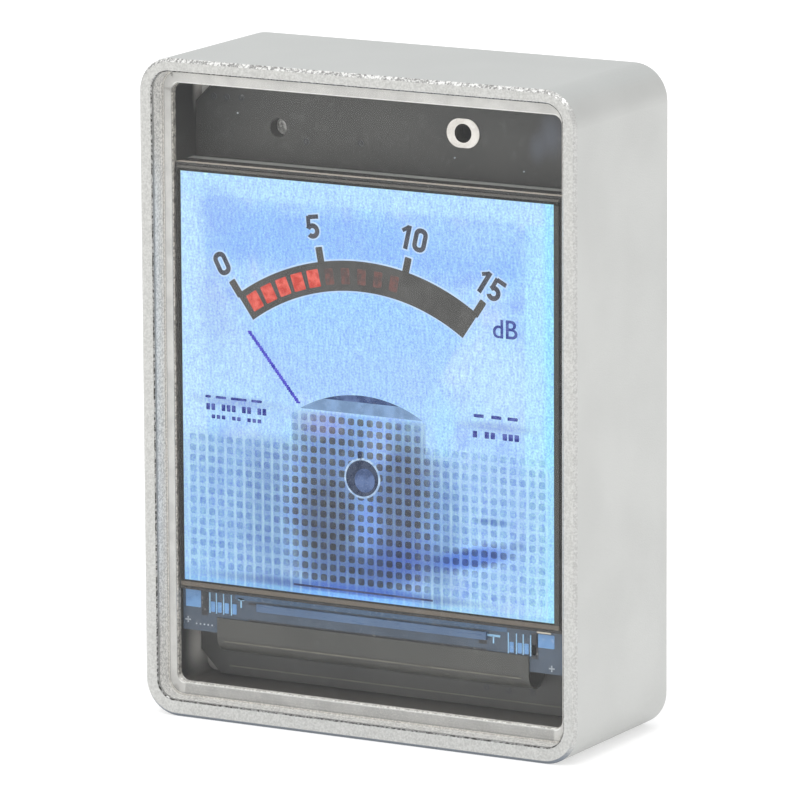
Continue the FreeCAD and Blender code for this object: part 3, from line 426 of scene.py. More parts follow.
def makeCaseFinish():            # blasted metal: grain all over, painted glints and shade on the chamfers, a dark inside with painted light
    look = caseLook
    material, sockets = newMaterial("blastedAluminium", {})
    where, facing = useGroup("placeOnPart"), useGroup("facing")
    point, depth = where["Point"], where["Depth"]
    rim = useGroup("rimLine", **look["recess"])
    grain = useGroup("surfaceGrain", Size=look["grain"], Cloud=look["cloud"])

    def between(amount, pair):
        return mixTone(amount, tone(*look[pair][0]), tone(*look[pair][1]))

    def over(colour, amount, shade):
        return mixTone(amount, colour, tone(*look[shade]))

    squiggle = ramp(noise(point, look["squiggle"], 4.0, 0.7), 0.40, 0.60)
    blast = ramp(noise(point, look["blast"], 3.0, 0.6), 0.3, 0.7)
    # painted shade: faces that look up take half of the darker top tone
    colour = over(between(cloudy(grain, 0.5), "body"), times(facing["Top"], 0.5), "top")
    colour = mixTone(facing["Front"], colour, between(blast, "front"))
    # painted glints speckle the chamfers that face up
    edge = mixTone(facing["Rise"], between(blast, "quiet"), between(squiggle, "risingGlint"))
    # painted shade on chamfers that face down
    edge = over(edge, facing["Fall"], "under")
    deep = ramp(depth, -6.0, -5.5)                   # the chamfer of the opening lies deeper than the lip's
    # the opening's chamfers: faces that look up get painted glints, the rest painted shade
    openingTone = mixTone(most(facing["Top"], facing["Rise"]), between(squiggle, "opening"),
                          between(squiggle, "catch"))
    # the lip's chamfer gets dark, jagged painted shade
    inner = mixTone(deep, between(squiggle, "lip"), openingTone)
    notBack = less(1.0, facing["Back"])
    colour = mixTone(facing["Slant"], colour, mixTone(times(rim["Inside"], notBack), edge, inner))

    ahead = ramp(depth, look["ledgeDepth"] - 0.05, look["ledgeDepth"] + 0.05, 1.0, 0.0)
    recess = times(rim["Inside"], ramp(depth, -6.42, -6.35))
    machined = noise(plus(depth, rim["Distance"]), 4.5)          # lines along the wall
    machined = ramp(calc("MULTIPLY_ADD", machined, 0.6, times(blast, 0.4)), 0.3, 0.7)
    front = ramp(depth, look["windowDepth"], look["windowDepth"] + 0.1, 1.0, 0.0)
    wall = times(facing["Side"], recess, ahead)
    # painted shade darkens the wall's strip in front of the window
    colour = mixTone(wall, colour, over(between(machined, "wall"), times(front, 0.7), "wallFrontShade"))
    ledge = times(recess, facing["Front"])
    # painted shade along the crease where the ledge meets the wall
    creaseShade = times(ramp(rim["Distance"], -0.16, -0.08), 0.8)
    colour = mixTone(ledge, colour, over(between(machined, "ledge"), creaseShade, "creaseShade"))

    # the walls in front of the ledge take the same painted glints and shade
    edgeWall = times(facing["Side"], recess, less(1.0, ahead))
    colour = mixTone(edgeWall, colour, openingTone)
    inside = times(ramp(depth, look["edgeDepth"] - 0.04, look["edgeDepth"] + 0.04), recess, notBack)
    post = times(facing["Front"], ramp(depth, look["postDepth"] - 0.1, look["postDepth"]))
    # darker inside the case, past the display's edge, with a lighter painted tone on faces that look up
    darkInsideWithLights = over(between(grain["Cloudy"], "inside"), facing["Top"], "floor")
    # painted light on the upper posts' front faces
    darkInsideWithLights = over(darkInsideWithLights, times(post, ramp(where["Up"], 36.0, 40.0)), "post")
    # painted light on the lower-left post
    darkInsideWithLights = over(darkInsideWithLights, times(post, spotMask(*look["postLight"])), "caught")
    for up, high, near, far in look["wallLights"]:   # light caught by the left wall
        glow = spotMask(-14.9, up, 1.2, high, 0.0, 0.8)
        darkInsideWithLights = over(darkInsideWithLights, times(glow, facing["Side"], ramp(depth, near, far)), "caught")
    feed(sockets["Base Color"], mixTone(inside, colour, darkInsideWithLights))

    opening = most(times(facing["Slant"], deep, rim["Inside"], notBack, 0.85), times(edgeWall, 0.85))
    dull = most(most(times(wall, 0.9), times(ledge, 0.85)), inside)
    feed(sockets["Metallic"], less(1.0, most(dull, opening)))
    rough = ramp(grain["Grain"], 0.25, 0.75, *look["rough"], smooth=False)
    feed(sockets["Roughness"], less(rough, times(facing["Slant"], 0.12)))
    crumbs = times(squiggle, facing["Slant"], facing["Rise"])
    addBump(sockets, calc("MULTIPLY_ADD", crumbs, 1.2, grain["Grain"]), look["bump"])
    return material


def makeWindowFinish():          # clear sheet: light passes straight through, and a little is mirrored
    material, sockets = newMaterial("clearWindow", {"Metallic": 1.0, "Roughness": 0.03})
    grain = useGroup("surfaceGrain", Size=0.3, Cloud=9.0)
    feed(sockets["Base Color"], mixTone(grain["Cloudy"], tone(236, 238, 240), tone(250, 250, 248)))
    haze = ramp(grain["Cloudy"], 0.0, 1.0, 0.018, 0.022, smooth=False)
    feed(sockets["Alpha"], plus(haze, times(grain["Specks"], 0.01)))
    return material


screenLook = {
    "lit": (-13.95, 13.87, 9.05, 36.58, 0.015),      # left, right, low, high, soft
    "webGain": (1.15, 1.3, 1.5, 1.0),                # how much brighter the web is between dark dots
    "webLine": (204, 242, 253), "start": -13.557, "pitch": 0.708, "half": 0.17,
    # the border's lighter lines and its tone for upward cut edges are painted highlights
    "border": ((24, 24, 23), (38, 38, 36)), "cutEdgeGlint": (60, 58, 55),
    "borderGlintLines": [(13.9, 15.0, 8.0, 36.5, (68, 67, 65)), (-16.0, 16.0, 36.76, 37.2, (92, 90, 86)),
                    (-16.0, 16.0, 8.62, 8.92, (104, 97, 88))],
}


def makeScreenFinish():          # the lit square, its dark border with lighter lines that are painted highlights on the edges of the films and glass, and painted highlights on cut edges that face up
    look = screenLook
    material, sockets = newMaterial("litPicture", {"Emission Strength": 1.0, "Specular IOR Level": 0.1,
                                                   "Roughness": 0.5})
    glow, facing, where = useGroup("dialGlow"), useGroup("facing"), useGroup("placeOnPart")
    grain = useGroup("surfaceGrain", Size=0.2, Cloud=5.0)
    lit = times(boxMask(*look["lit"]), facing["Front"])
    gain = mixTone(glow["Panel"], white, mixTone(glow["Dark"], white, look["webGain"]))
    web = mixTone(1.0, glow["Color"], gain, "MULTIPLY")
    column = calc("PINGPONG", calc("DIVIDE", less(where["Across"], look["start"]), look["pitch"]), 0.5)
    column = ramp(column, look["half"] * 0.4, look["half"], 0.42, 0.12)
    patchy = ramp(noise(where["Point"], 0.9), 0.3, 0.65, 0.45, 1.0)
    column = times(column, calc("MULTIPLY_ADD", glow["Dark"], -0.7, 1.0), patchy)
    web = mixTone(times(glow["Panel"], column), web, litTone(*look["webLine"]))
    feed(sockets["Emission Color"], mixTone(lit, (0, 0, 0, 1), web))
    border = mixTone(grain["Cloudy"], *(tone(*shade) for shade in look["border"]))
    # painted highlights along the edges of the films and glass
    for *box, shade in look["borderGlintLines"]:
        border = mixTone(boxMask(*box, 0.03), border, tone(*shade))
    # a painted highlight on cut edges that face up
    border = mixTone(facing["Top"], border, tone(*look["cutEdgeGlint"]))
    feed(sockets["Base Color"], mixTone(lit, border, nearBlack))
    return material


dotLook = {      # how much of the glow's red, green and blue stays, from and to
    "side": ((0.86, 0.90, 0.95, 1.0), (0.66, 0.72, 0.82, 1.0)),
    "middle": ((0.78, 0.64, 0.50, 1.0), (0.50, 0.38, 0.27, 1.0)),
}


def makeDotFinish():             # the dots follow the glow round them, only darker, most of all in the middle
    material, sockets = newMaterial("dotInk", {"Emission Strength": 1.0, "Specular IOR Level": 0.0,
                                               "Roughness": 0.8, "Base Color": nearBlack})
    glow = useGroup("dialGlow")
    uneven = ramp(noise(useGroup("placeOnPart")["Point"], 1.3), 0.35, 0.65)
    gain = mixTone(glow["Dark"], mixTone(uneven, *dotLook["side"]), mixTone(uneven, *dotLook["middle"]))
    feed(sockets["Emission Color"], mixTone(1.0, glow["Color"], gain, "MULTIPLY"))
    return material


glowLooks = {      # dark tone, light tone, size of the grain, size of the clouds
    "scaleInk": ((92, 92, 91), (99, 99, 98), 0.2, 1.5),
    "figureInk": ((82, 86, 96), (98, 100, 108), 0.15, 0.8),
    "unitInk": ((68, 80, 150), (96, 108, 174), 0.15, 0.5),
    "litRed": ((208, 86, 78), (234, 116, 106), 0.22, 0.5),
    "dimRed": ((104, 93, 92), (128, 98, 95), 0.2, 0.4),
    "needleBlue": ((72, 72, 186), (98, 96, 214), 0.15, 0.6),
    "domeShade": ((70, 84, 122), (104, 124, 168), 0.2, 1.2),
    "domeBody": ((122, 150, 186), (142, 174, 216), 0.2, 1.4),
    "bossRim": ((146, 176, 216), (196, 220, 246), 0.15, 0.5),
    "bossShade": ((60, 68, 88), (80, 90, 112), 0.2, 0.8),
    "bossFace": ((80, 96, 132), (108, 128, 170), 0.18, 0.9),
    "markBlue": ((60, 68, 142), (100, 112, 184), 0.2, 0.5),
    "lineNavy": ((72, 78, 106), (90, 98, 134), 0.2, 1.5),
    "halo": ((184, 214, 252), (200, 226, 254), 0.2, 1.0),
}
plainLooks = {     # the same, then roughness from and to, then what else the finish has
    # the filter glass: painted highlights on its top and right cut edges
    "displayGlass": ((22, 22, 22), (36, 35, 34), 0.3, 3.0, (0.12, 0.2),
                     {"tops": [((246, 236, 222), -5.0)], "right": (255, 246, 232), "specks": 0.0}),
    # the ledge glass: a painted highlight on the front of its top cut edge, a dark tone further back
    "ledgeGlass": ((48, 62, 78), (70, 86, 104), 0.2, 2.0, (0.15, 0.3),
                   {"tops": [((236, 226, 212), -4.6), ((60, 58, 56), -4.3)], "right": (64, 62, 60),
                    "specks": 0.0}),
    # dark silicon with a painted blue reflection
    "siliconWithBlueReflection": ((60, 86, 118), (76, 104, 138), 0.4, 4.0, (0.25, 0.35),
                    {"stretch": (0.3, 1.0, 2.0), "specks": 0.0}),
    "flexFilm": ((56, 56, 52), (68, 68, 64), 0.8, 5.0, (0.40, 0.48), {"specks": 0.0, "bump": 0.0}),
    # the tray: a painted highlight on its top edge
    "trayPlastic": ((42, 42, 40), (58, 58, 55), 0.2, 3.0, (0.4, 0.6),
                    {"tops": [((196, 198, 194), -3.25)], "specks": 0.0}),
    "polarizerFilm": ((44, 46, 52), (62, 64, 70), 0.3, 5.0, (0.2, 0.3)),
    # the adhesive: painted shade along the crease by the wall, a painted highlight towards the opening
    "adhesiveFilm": ((192, 191, 188), (218, 217, 213), 0.16, 1.2, (0.4, 0.6),
                     {"rimShadeAndGlint": [(-0.42, 0.0, (150, 149, 146), 0.6), (-2.0, -1.04, (255, 255, 252), 0.7)],
                      "specks": 0.0}),
    "diffuserFilm": ((226, 228, 230), (244, 244, 244), 0.2, 4.0, (0.5, 0.7)),
    "guideAcrylic": ((206, 216, 222), (230, 236, 240), 0.25, 3.0, (0.1, 0.2)),
    "reflectorFilm": ((206, 206, 208), (226, 226, 228), 0.2, 4.0, (0.15, 0.25), {"metal": 0.8}),
    "ledPackage": ((228, 222, 200), (244, 238, 214), 0.1, 0.5, (0.3, 0.5)),
    "foamTape": ((26, 26, 26), (46, 46, 46), 0.08, 1.0, (0.8, 0.95), {"bump": 0.05}),
    "solderMask": ((56, 56, 54), (64, 64, 61), 0.8, 6.0, (0.42, 0.48),
                   {"specks": 0.0, "bump": 0.0, "spots": [
                       # a darker patch in the board's top-left corner is painted shade
                       (-15.0, 40.0, 4.5, 6.0, 0.0, 0.9, (36, 36, 35), 0.7),
                       (12.2, 40.6, 0.7, 1.2, 0.0, 0.8, (98, 104, 118), 0.6),
                       (11.2, 39.6, 0.5, 0.8, 0.0, 0.8, (96, 102, 116), 0.5),
                       (0.2, 40.6, 2.2, 1.9, 0.0, 0.3, (70, 70, 67), 0.35)]}),
    "tinnedCopper": ((196, 192, 185), (228, 225, 219), 0.14, 0.6, (0.25, 0.4), {"metal": 1.0, "bump": 0.015}),
    "stampedSteel": ((176, 176, 178), (206, 206, 208), 0.2, 1.5, (0.25, 0.4),
                     {"metal": 1.0, "stretch": (1.0, 1.0, 4.0)}),
    # the mesh's dark holes and white specks; the specks are painted glints on its wires
    "meshMetal": ((20, 20, 19), (255, 255, 250), 0.14, 0.16, (0.4, 0.6),
                  {"metal": 0.3, "specks": 0.9, "bump": 0.03}),
    "chipEpoxy": ((24, 24, 25), (40, 40, 42), 0.06, 1.5, (0.5, 0.7)),
    "capacitorCeramic": ((150, 118, 84), (182, 150, 112), 0.08, 0.5, (0.4, 0.6)),
    "resistorCeramic": ((28, 30, 34), (52, 54, 58), 0.08, 0.5, (0.3, 0.5)),
    "socketSteel": ((196, 197, 200), (222, 223, 226), 0.15, 1.5, (0.2, 0.34),
                    {"metal": 1.0, "stretch": (1.0, 0.2, 1.0)}),
    "socketPlastic": ((20, 20, 21), (36, 36, 38), 0.08, 1.0, (0.45, 0.6)),
    "goldContact": ((214, 164, 84), (244, 204, 122), 0.08, 0.5, (0.2, 0.35), {"metal": 1.0}),
    "switchPlastic": ((26, 26, 27), (44, 44, 46), 0.1, 1.2, (0.5, 0.65)),
    "springSteel": ((188, 190, 192), (224, 226, 228), 0.1, 0.8, (0.15, 0.3), {"metal": 1.0}),
    "buttonPlastic": ((40, 40, 42), (58, 58, 60), 0.09, 1.6, (0.42, 0.6), {"bump": 0.02}),
    "screwSteel": ((150, 150, 152), (196, 196, 198), 0.12, 0.7, (0.22, 0.4), {"metal": 1.0}),
    "coverAluminium": ((192, 195, 194), (204, 206, 205), 0.12, 6.0, (0.4, 0.52),
                       {"metal": 1.0, "bump": 0.02}),
    "padBlue": ((84, 130, 180), (112, 160, 210), 0.2, 1.0, (0.25, 0.4)),
    "bandBlue": ((52, 82, 112), (70, 104, 138), 0.3, 2.0, (0.2, 0.3), {"specks": 0.0}),
    # shared by the fold's painted highlight and the pale line on the board
    "boardLineAndFoldGlint": ((84, 82, 74), (118, 114, 102), 0.4, 1.5, (0.4, 0.5), {"specks": 0.0}),
    "inkDark": ((20, 24, 30), (36, 40, 48), 0.15, 0.8, (0.3, 0.5)),
    "lineCyan": ((120, 168, 206), (160, 204, 232), 0.12, 0.5, (0.25, 0.4)),
    "cream": ((214, 206, 188), (240, 232, 214), 0.12, 0.5, (0.4, 0.6)),
    "paleMark": ((144, 154, 164), (190, 196, 202), 0.12, 0.5, (0.3, 0.5)),
}
finish = {name: glowFinish(name, *look) for name, look in glowLooks.items()}
finish.update({name: plainFinish(name, *look) for name, look in plainLooks.items()})
finish.update({"caseMetal": makeCaseFinish(), "window": makeWindowFinish(), "screen": makeScreenFinish(),
               "dots": makeDotFinish()})
print("materials made:", len(finish))

nodeFinish = {
    "case_shell": "caseMetal", "front_window": "window", "window_adhesive": "adhesiveFilm",
    "front_polarizer": "screen", "color_filter_glass": "displayGlass", "tft_glass": "ledgeGlass",
    "driver_chip": "siliconWithBlueReflection", "display_flex": "flexFilm", "backlight_tray": "trayPlastic",
    "rear_polarizer": "polarizerFilm", "diffuser_films": "diffuserFilm", "light_guide": "guideAcrylic",
    "reflector_sheet": "reflectorFilm", "backlight_leds": "ledPackage", "display_tape": "foamTape",
    "main_board": "solderMask", "plated_eyelet": "tinnedCopper", "microphone": "stampedSteel",
    "microphone_mesh": "meshMetal", "controller_chip": "chipEpoxy", "memory_chip": "chipEpoxy",
    "regulator_chip": "chipEpoxy", "crystal": "stampedSteel", "capacitors": "capacitorCeramic",
    "resistors": "resistorCeramic", "usb_socket_shell": "socketSteel", "usb_socket_tongue": "socketPlastic",
    "usb_contacts": "goldContact", "back_cover": "coverAluminium", "cover_screws": "screwSteel",
}
for side in ("mode", "level"):
    nodeFinish.update({side + "_switch_base": "switchPlastic", side + "_switch_plate": "stampedSteel",
                       side + "_switch_dome": "springSteel", side + "_switch_stem": "switchPlastic",
                       side + "_button": "buttonPlastic"})
for name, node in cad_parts.items():
    for slot in node.material_slots:
        slot.material = finish[nodeFinish[name]]
print("parts dressed:", len(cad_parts))

# Modelling helpers

layer = 0.02                     # thickness of whatever is drawn
weld = 1e-7                      # corners nearer than this are one, in metres


def selectNone():
    bpy.ops.object.select_all(action="DESELECT")


def pickUp(piece):               # the only thing selected, and active
    selectNone()
    piece.select_set(True)
    bpy.context.view_layer.objects.active = piece


def applyPlace(piece):
    pickUp(piece)
    bpy.ops.object.transform_apply(location=True, rotation=True, scale=True)


def openMesh():                  # edit mode, with everything selected
    bpy.ops.object.mode_set(mode="EDIT")
    bpy.ops.mesh.select_all(action="SELECT")


def closeMesh(outwards=False):
    if outwards:
        bpy.ops.mesh.select_all(action="SELECT")
        bpy.ops.mesh.normals_make_consistent(inside=False)
    bpy.ops.object.mode_set(mode="OBJECT")


def thicken(piece, thick):       # a flat outline gets its thickness, half each way, and a closed skin
    pickUp(piece)
    modifier = piece.modifiers.new("thickness", "SOLIDIFY")
    modifier.thickness = thick * mm
    modifier.offset = 0.0
    bpy.ops.object.modifier_apply(modifier=modifier.name)
    openMesh()
    closeMesh(outwards=True)


def spotFor(across, up, depth, thick):       # the middle of a layer whose back lies at a depth
    return across * mm, (depth - thick / 2) * mm, up * mm


def upright(lean=0.0):           # turns a flat shape to face the front
    return math.pi / 2, turn(lean), 0


def addPlate(across, up, wide, high, depth, lean=0.0, corner=0.0, thick=layer, ring=0.0):
    selectNone()
    bpy.ops.mesh.primitive_plane_add(size=1.0, location=spotFor(across, up, depth, thick),
                                     rotation=upright(lean))
    plate = bpy.context.object
    plate.scale = (wide * mm, high * mm, 1)
    applyPlace(plate)
    if corner:
        openMesh()
        bpy.ops.mesh.bevel(offset=corner * mm, segments=6 if ring else 2, affect="VERTICES")
        if ring:                 # only a band round the edge stays
            bpy.ops.mesh.inset(thickness=ring * mm, use_even_offset=True)
            bpy.ops.mesh.delete(type="FACE")
        closeMesh()
    thicken(plate, thick)
    return plate


def addSpan(left, right, low, high, depth, corner=0.0):
    return addPlate((left + right) / 2, (low + high) / 2, right - left, high - low, depth, 0.0, corner)


def addDisc(across, up, wide, high, depth, hole=0.0, thick=layer, sides=40):
    selectNone()
    bpy.ops.mesh.primitive_circle_add(vertices=sides, radius=0.5, fill_type="NGON",
                                      location=spotFor(across, up, depth, thick), rotation=upright())
    disc = bpy.context.object
    disc.scale = (wide * mm, high * mm, 1)
    applyPlace(disc)
    if hole:
        openMesh()
        bpy.ops.mesh.inset(thickness=(wide - hole) / 2 * mm, use_even_offset=True)
        bpy.ops.mesh.delete(type="FACE")
        closeMesh()
    thicken(disc, thick)
    return disc


def joinAll(pieces):
    pickUp(pieces[0])
    for piece in pieces[1:]:
        piece.select_set(True)
    bpy.ops.object.join()
    return bpy.context.object


def keepPiece(piece, name, look, body="meter"):
    piece.name = piece.data.name = name
    piece.data.materials.clear()
    piece.data.materials.append(finish[look])
    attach(piece, body)


def keepDrawn(piece, name, look):
    keepPiece(piece, name, look)


# The dial, drawn on the lit picture in thin layers

screenDepth = -5.0               # the front face of the lit film
inkDepth = screenDepth - layer   # ink lies over the pale outline
halo = 0.10                      # how far that outline stands out round dark ink
scaleMarks = {"angles": (-35.35, -10.45, 12.86, 33.75), "from": 15.4, "to": 16.62, "wide": 0.50,
              "corner": 0.07}
segments = {"first": -32.4, "pitch": 4.74, "count": 10, "lit": 5, "reach": 14.62, "litSize": (0.87, 1.17),
            "dimSize": (0.62, 1.05), "corner": 0.06}
figureLook = {"tall": 1.6, "wide": 1.0, "stroke": 0.32, "bowl": 0.51, "pitch": 1.06, "slope": 0.10, "lean": 5}
figures = [("0", -10.83, 30.63, -33.0), ("5", -3.93, 33.67, -8.0), ("10", 3.55, 33.5, 8.0),
           ("15", 9.2, 30.9, 28.0)]
unit = {"text": "dB", "across": 10.3, "up": 28.05, "size": 1.75, "bolder": 0.015}


def addArcBand(look, depth, widen=0.0):      # an upright edge, spun about the arc's centre
    start = turn(look["left"] - widen * 4)
    middle = (look["inner"] + look["outer"]) / 2
    tall = look["outer"] - look["inner"] + widen * 2
    centre = Vector(spotFor(look["across"], look["up"], depth, layer))
    spot = centre + Vector((math.sin(start), 0, math.cos(start))) * middle * mm
    selectNone()
    bpy.ops.mesh.primitive_plane_add(size=1.0, location=spot, rotation=(math.pi / 2, start, 0))
    band = bpy.context.object
    band.scale = (0, tall * mm, 1)
    applyPlace(band)
    openMesh()
    bpy.ops.mesh.remove_doubles(threshold=weld)      # the flat plate becomes one edge
    sweep = turn(look["left"] - look["right"] - widen * 8)
    bpy.ops.mesh.spin(steps=look["steps"], angle=sweep, center=centre, axis=(0, 1, 0))
    bpy.ops.mesh.select_all(action="SELECT")
    bpy.ops.mesh.remove_doubles(threshold=weld)
    closeMesh()
    thicken(band, layer)
    return band


def onDial(angle, reach):        # a place on the dial, by its angle from upright and its reach
    return dialArc["across"] + reach * math.sin(turn(angle)), dialArc["up"] + reach * math.cos(turn(angle))


def addFigure(text, across, up, lean, look, depth, widen=0.0):      # upright strokes, bowls and rings
    tall, wide, stroke = (look[key] + widen * 2 for key in ("tall", "wide", "stroke"))
    top, bar = look["tall"] / 2, look["stroke"] / 2
    pieces = []
    for number, sign in enumerate(text):
        along = (number - (len(text) - 1) / 2) * look["pitch"]

        def at(right, above):
            right += along + above * look["slope"]
            return (across + right * math.cos(turn(lean)) + above * math.sin(turn(lean)),
                    up + above * math.cos(turn(lean)) - right * math.sin(turn(lean)))

        def addStroke(right, above, wide, tall, tilt=0, corner=0.0, ring=0.0):
            pieces.append(addPlate(*at(right, above), wide, tall, depth, lean + tilt, corner, layer, ring))

        if sign == "0":
            addStroke(0, 0, wide, tall, look["lean"], wide * 0.46, stroke)
        if sign == "1":          # a stem and its flag
            addStroke(0.12, 0, stroke, tall, look["lean"])
            addStroke(-0.14, top - 0.27, 0.52 + widen * 2, stroke * 0.8, -36)
        if sign == "5":          # a bar, a short stem and a bowl
            addStroke(0.06, top - bar, look["wide"] * 0.74 + widen * 2, stroke * 0.9)
            addStroke(-look["wide"] / 2 + bar + 0.02, look["tall"] * 0.2, stroke * 0.9, look["tall"] * 0.5, 4)
            right, above = at(-0.03, -top + look["bowl"])
            bowl = {"across": right, "up": above, "inner": look["bowl"] - look["stroke"] - widen,
                    "outer": look["bowl"] + widen, "left": lean - 62, "right": lean + 232, "steps": 28}
            pieces.append(addArcBand(bowl, depth))
    return joinAll(pieces)


def addUnit(look, depth):        # the unit's thin letters
    selectNone()
    bpy.ops.object.text_add(location=spotFor(look["across"], look["up"], depth, layer), rotation=upright())
    letters = bpy.context.object
    letters.data.body = look["text"]
    letters.data.size = look["size"]
    letters.data.align_x = letters.data.align_y = "CENTER"
    letters.data.extrude = layer / 2
    letters.data.offset = look["bolder"]
    letters.scale = (mm, mm, mm)
    bpy.ops.object.convert(target="MESH")
    letters = bpy.context.object
    applyPlace(letters)
    openMesh()
    bpy.ops.mesh.remove_doubles(threshold=weld)
    closeMesh(outwards=True)
    return letters


def addTicks(depth, widen=0.0):
    look = scaleMarks
    middle, tall = (look["from"] + look["to"]) / 2, look["to"] - look["from"] + widen * 2
    wide = look["wide"] + widen * 2
    return joinAll([addPlate(*onDial(angle, middle), wide, tall, depth, angle, look["corner"])
                    for angle in look["angles"]])


keepDrawn(joinAll([addArcBand(dialArc, screenDepth, halo), addTicks(screenDepth, halo)]), "dialHalo", "halo")
keepDrawn(addArcBand(dialArc, inkDepth), "dialArc", "scaleInk")
keepDrawn(addTicks(inkDepth), "dialTicks", "scaleInk")
blocks = {"litSize": [], "dimSize": []}
for count in range(segments["count"]):
    angle = segments["first"] + segments["pitch"] * count
    size = "litSize" if count < segments["lit"] else "dimSize"
    blocks[size].append(addPlate(*onDial(angle, segments["reach"]), *segments[size], inkDepth - layer, angle,
                                 segments["corner"]))
keepDrawn(joinAll(blocks["litSize"]), "litSegments", "litRed")
keepDrawn(joinAll(blocks["dimSize"]), "dimSegments", "dimRed")
for figure in figures:
    keepDrawn(addFigure(*figure, figureLook, screenDepth, halo), f"figure{figure[0]}Halo", "halo")
    keepDrawn(addFigure(*figure, figureLook, inkDepth), f"figure{figure[0]}", "figureInk")
keepDrawn(addUnit(unit, screenDepth), "unitLabel", "unitInk")
print("scale drawn")

needle = {"top": (-8.8, 26.25), "foot": (-5.05, 21.8), "wide": 0.29, "pixel": 0.1155}


def addNeedle(look):             # drawn in square pixels, so its edges step
    rows = round((look["top"][1] - look["foot"][1]) / look["pixel"])
    drift = (look["foot"][0] - look["top"][0]) / rows
    steps = []
    for row in range(rows):
        across = round((look["top"][0] + drift * row) / look["pixel"] * 2) / 2 * look["pixel"]
        up = look["top"][1] - look["pixel"] * row
        steps.append(addPlate(across, up, look["wide"], look["pixel"], screenDepth))
    return joinAll(steps)


keepDrawn(addNeedle(needle), "dialNeedle", "needleBlue")

dome = {"across": -0.4, "radius": 9.04, "top": 22.75, "base": 21.5, "shadeBase": 22.3, "sides": 160}


def addDome(look, base, depth):  # the part of a disc above a level line
    wide = look["radius"] * 2
    disc = addDisc(look["across"], look["top"] - look["radius"], wide, wide, depth, sides=look["sides"])
    pickUp(disc)
    openMesh()
    bpy.ops.mesh.bisect(plane_co=(0, 0, base * mm), plane_no=(0, 0, 1), clear_inner=True, use_fill=True,
                        threshold=weld)
    closeMesh(outwards=True)
    return disc


keepDrawn(addDome(dome, dome["base"], screenDepth), "hubDome", "domeBody")
keepDrawn(addDome(dome, dome["shadeBase"], inkDepth), "hubDomeShade", "domeShade")

dots = {"size": 0.46, "corner": 0.13, "pitch": (0.708, 0.71), "left": -13.203, "low": 10.29}
dotBlocks = [(0, 11, 13), (11, 14, 16), (25, 13, 14)]        # first column, columns, rows


def addDots(look, column, columns, rows):
    right, above = look["pitch"]
    dot = addPlate(look["left"] + column * right, look["low"], look["size"], look["size"], screenDepth, 0.0,
                   look["corner"])
    for count, shift in ((columns, (right * mm, 0, 0)), (rows, (0, 0, above * mm))):
        pickUp(dot)
        modifier = dot.modifiers.new("repeat", "ARRAY")
        modifier.count = count
        modifier.use_relative_offset = False
        modifier.use_constant_offset = True
        modifier.constant_offset_displace = shift
        bpy.ops.object.modifier_apply(modifier=modifier.name)
    return dot


for number, block in enumerate(dotBlocks, 1):
    keepDrawn(addDots(dots, *block), f"panelDots{number}", "dots")

boss = {"across": -0.33, "up": 17.25, "neck": (-0.5, 18.75, 0.3, 0.5),
        "discs": {"bossRim": (0.0, 0.0, 2.7, 2.7), "bossShade": (0.0, 0.0, 2.42, 2.42),
                  "bossFace": (0.2, -0.12, 1.5, 1.6)}}       # right, above, wide, high
for step, (name, (right, above, wide, high)) in enumerate(boss["discs"].items(), 1):
    disc = addDisc(boss["across"] + right, boss["up"] + above, wide, high, screenDepth - layer * step)
    keepDrawn(disc, name, name)
keepDrawn(addPlate(*boss["neck"], inkDepth, 0.0, 0.06), "bossNeck", "bossShade")

markRows = {     # each row: height above the floor, how tall and how wide its blocks are
    "left": {"edge": -12.2, "count": 12, "pitch": 0.39, "corner": 0.04, "dashes": (),
             "rows": ((21.62, 0.17, 0.40), (20.95, 0.44, 0.28), (20.3, 0.26, 0.26))},
    "right": {"edge": 7.85, "count": 8, "pitch": 0.44, "corner": 0.04, "dashes": (8.35, 9.65, 10.85),
              "rows": ((21.02, 0.44, 0.32),)},
}
dash = {"up": 22.25, "wide": 0.74, "high": 0.22, "corner": 0.05}
baseLine = (-5.6, 4.9, 9.54, 9.67)       # left, right, low, high
for side, look in markRows.items():
    marks = []
    for number, (up, high, wide) in enumerate(look["rows"]):
        for count in range(look["count"]):
            if (count * 5 + number * 3) % 7 > 4:     # uneven gaps
                continue
            across = look["edge"] + look["pitch"] * (count + 0.5)
            marks.append(addPlate(across, up, wide, high, screenDepth, 0.0, look["corner"]))
    marks += [addPlate(across, dash["up"], dash["wide"], dash["high"], screenDepth, 0.0, dash["corner"])
              for across in look["dashes"]]
    keepDrawn(joinAll(marks), side + "Marks", "markBlue")
keepDrawn(addSpan(*baseLine, screenDepth, 0.04), "baseLine", "lineNavy")
print("dial drawn")

# The glass ledge under the picture, with its printed pads, combs and marks: left, right, low, high

ledgeDepth = -4.45
plainLedge = {
    "ledgeBand": ("bandBlue", [(-10.4, 10.1, 7.95, 8.34)]),
    "ledgePads": ("padBlue", [(-14.2, -13.05, 7.1, 8.3), (12.3, 13.6, 7.2, 8.1)]),
    "ledgeStrips": ("inkDark", [(-13.0, -12.5, 6.6, 8.3), (11.9, 12.4, 6.4, 8.1), (8.0, 8.6, 7.0, 7.7),
                                (-9.4, 8.0, 7.68, 7.82), (-9.4, 8.6, 6.56, 6.68)]),
}
combs = {"drop": {"left": 0.0, "right": 0.25}, "left": (-12.35, -11.85, -11.3, -10.7),
         "right": (10.2, 10.8, 11.3, 11.85), "line": (-0.04, 0.04, 6.8, 8.2), "tooth": (0.08, 0.4, 6.9, 7.6)}
links = [(-10.2, -9.7, 7.9, 8.05), (-10.0, -9.9, 7.4, 7.95), (8.6, 9.6, 7.55, 7.7), (9.05, 9.15, 7.1, 7.6)]
crosses = {"places": ((-14.05, 6.2), (13.4, 5.88)), "long": 0.42, "thin": 0.09}
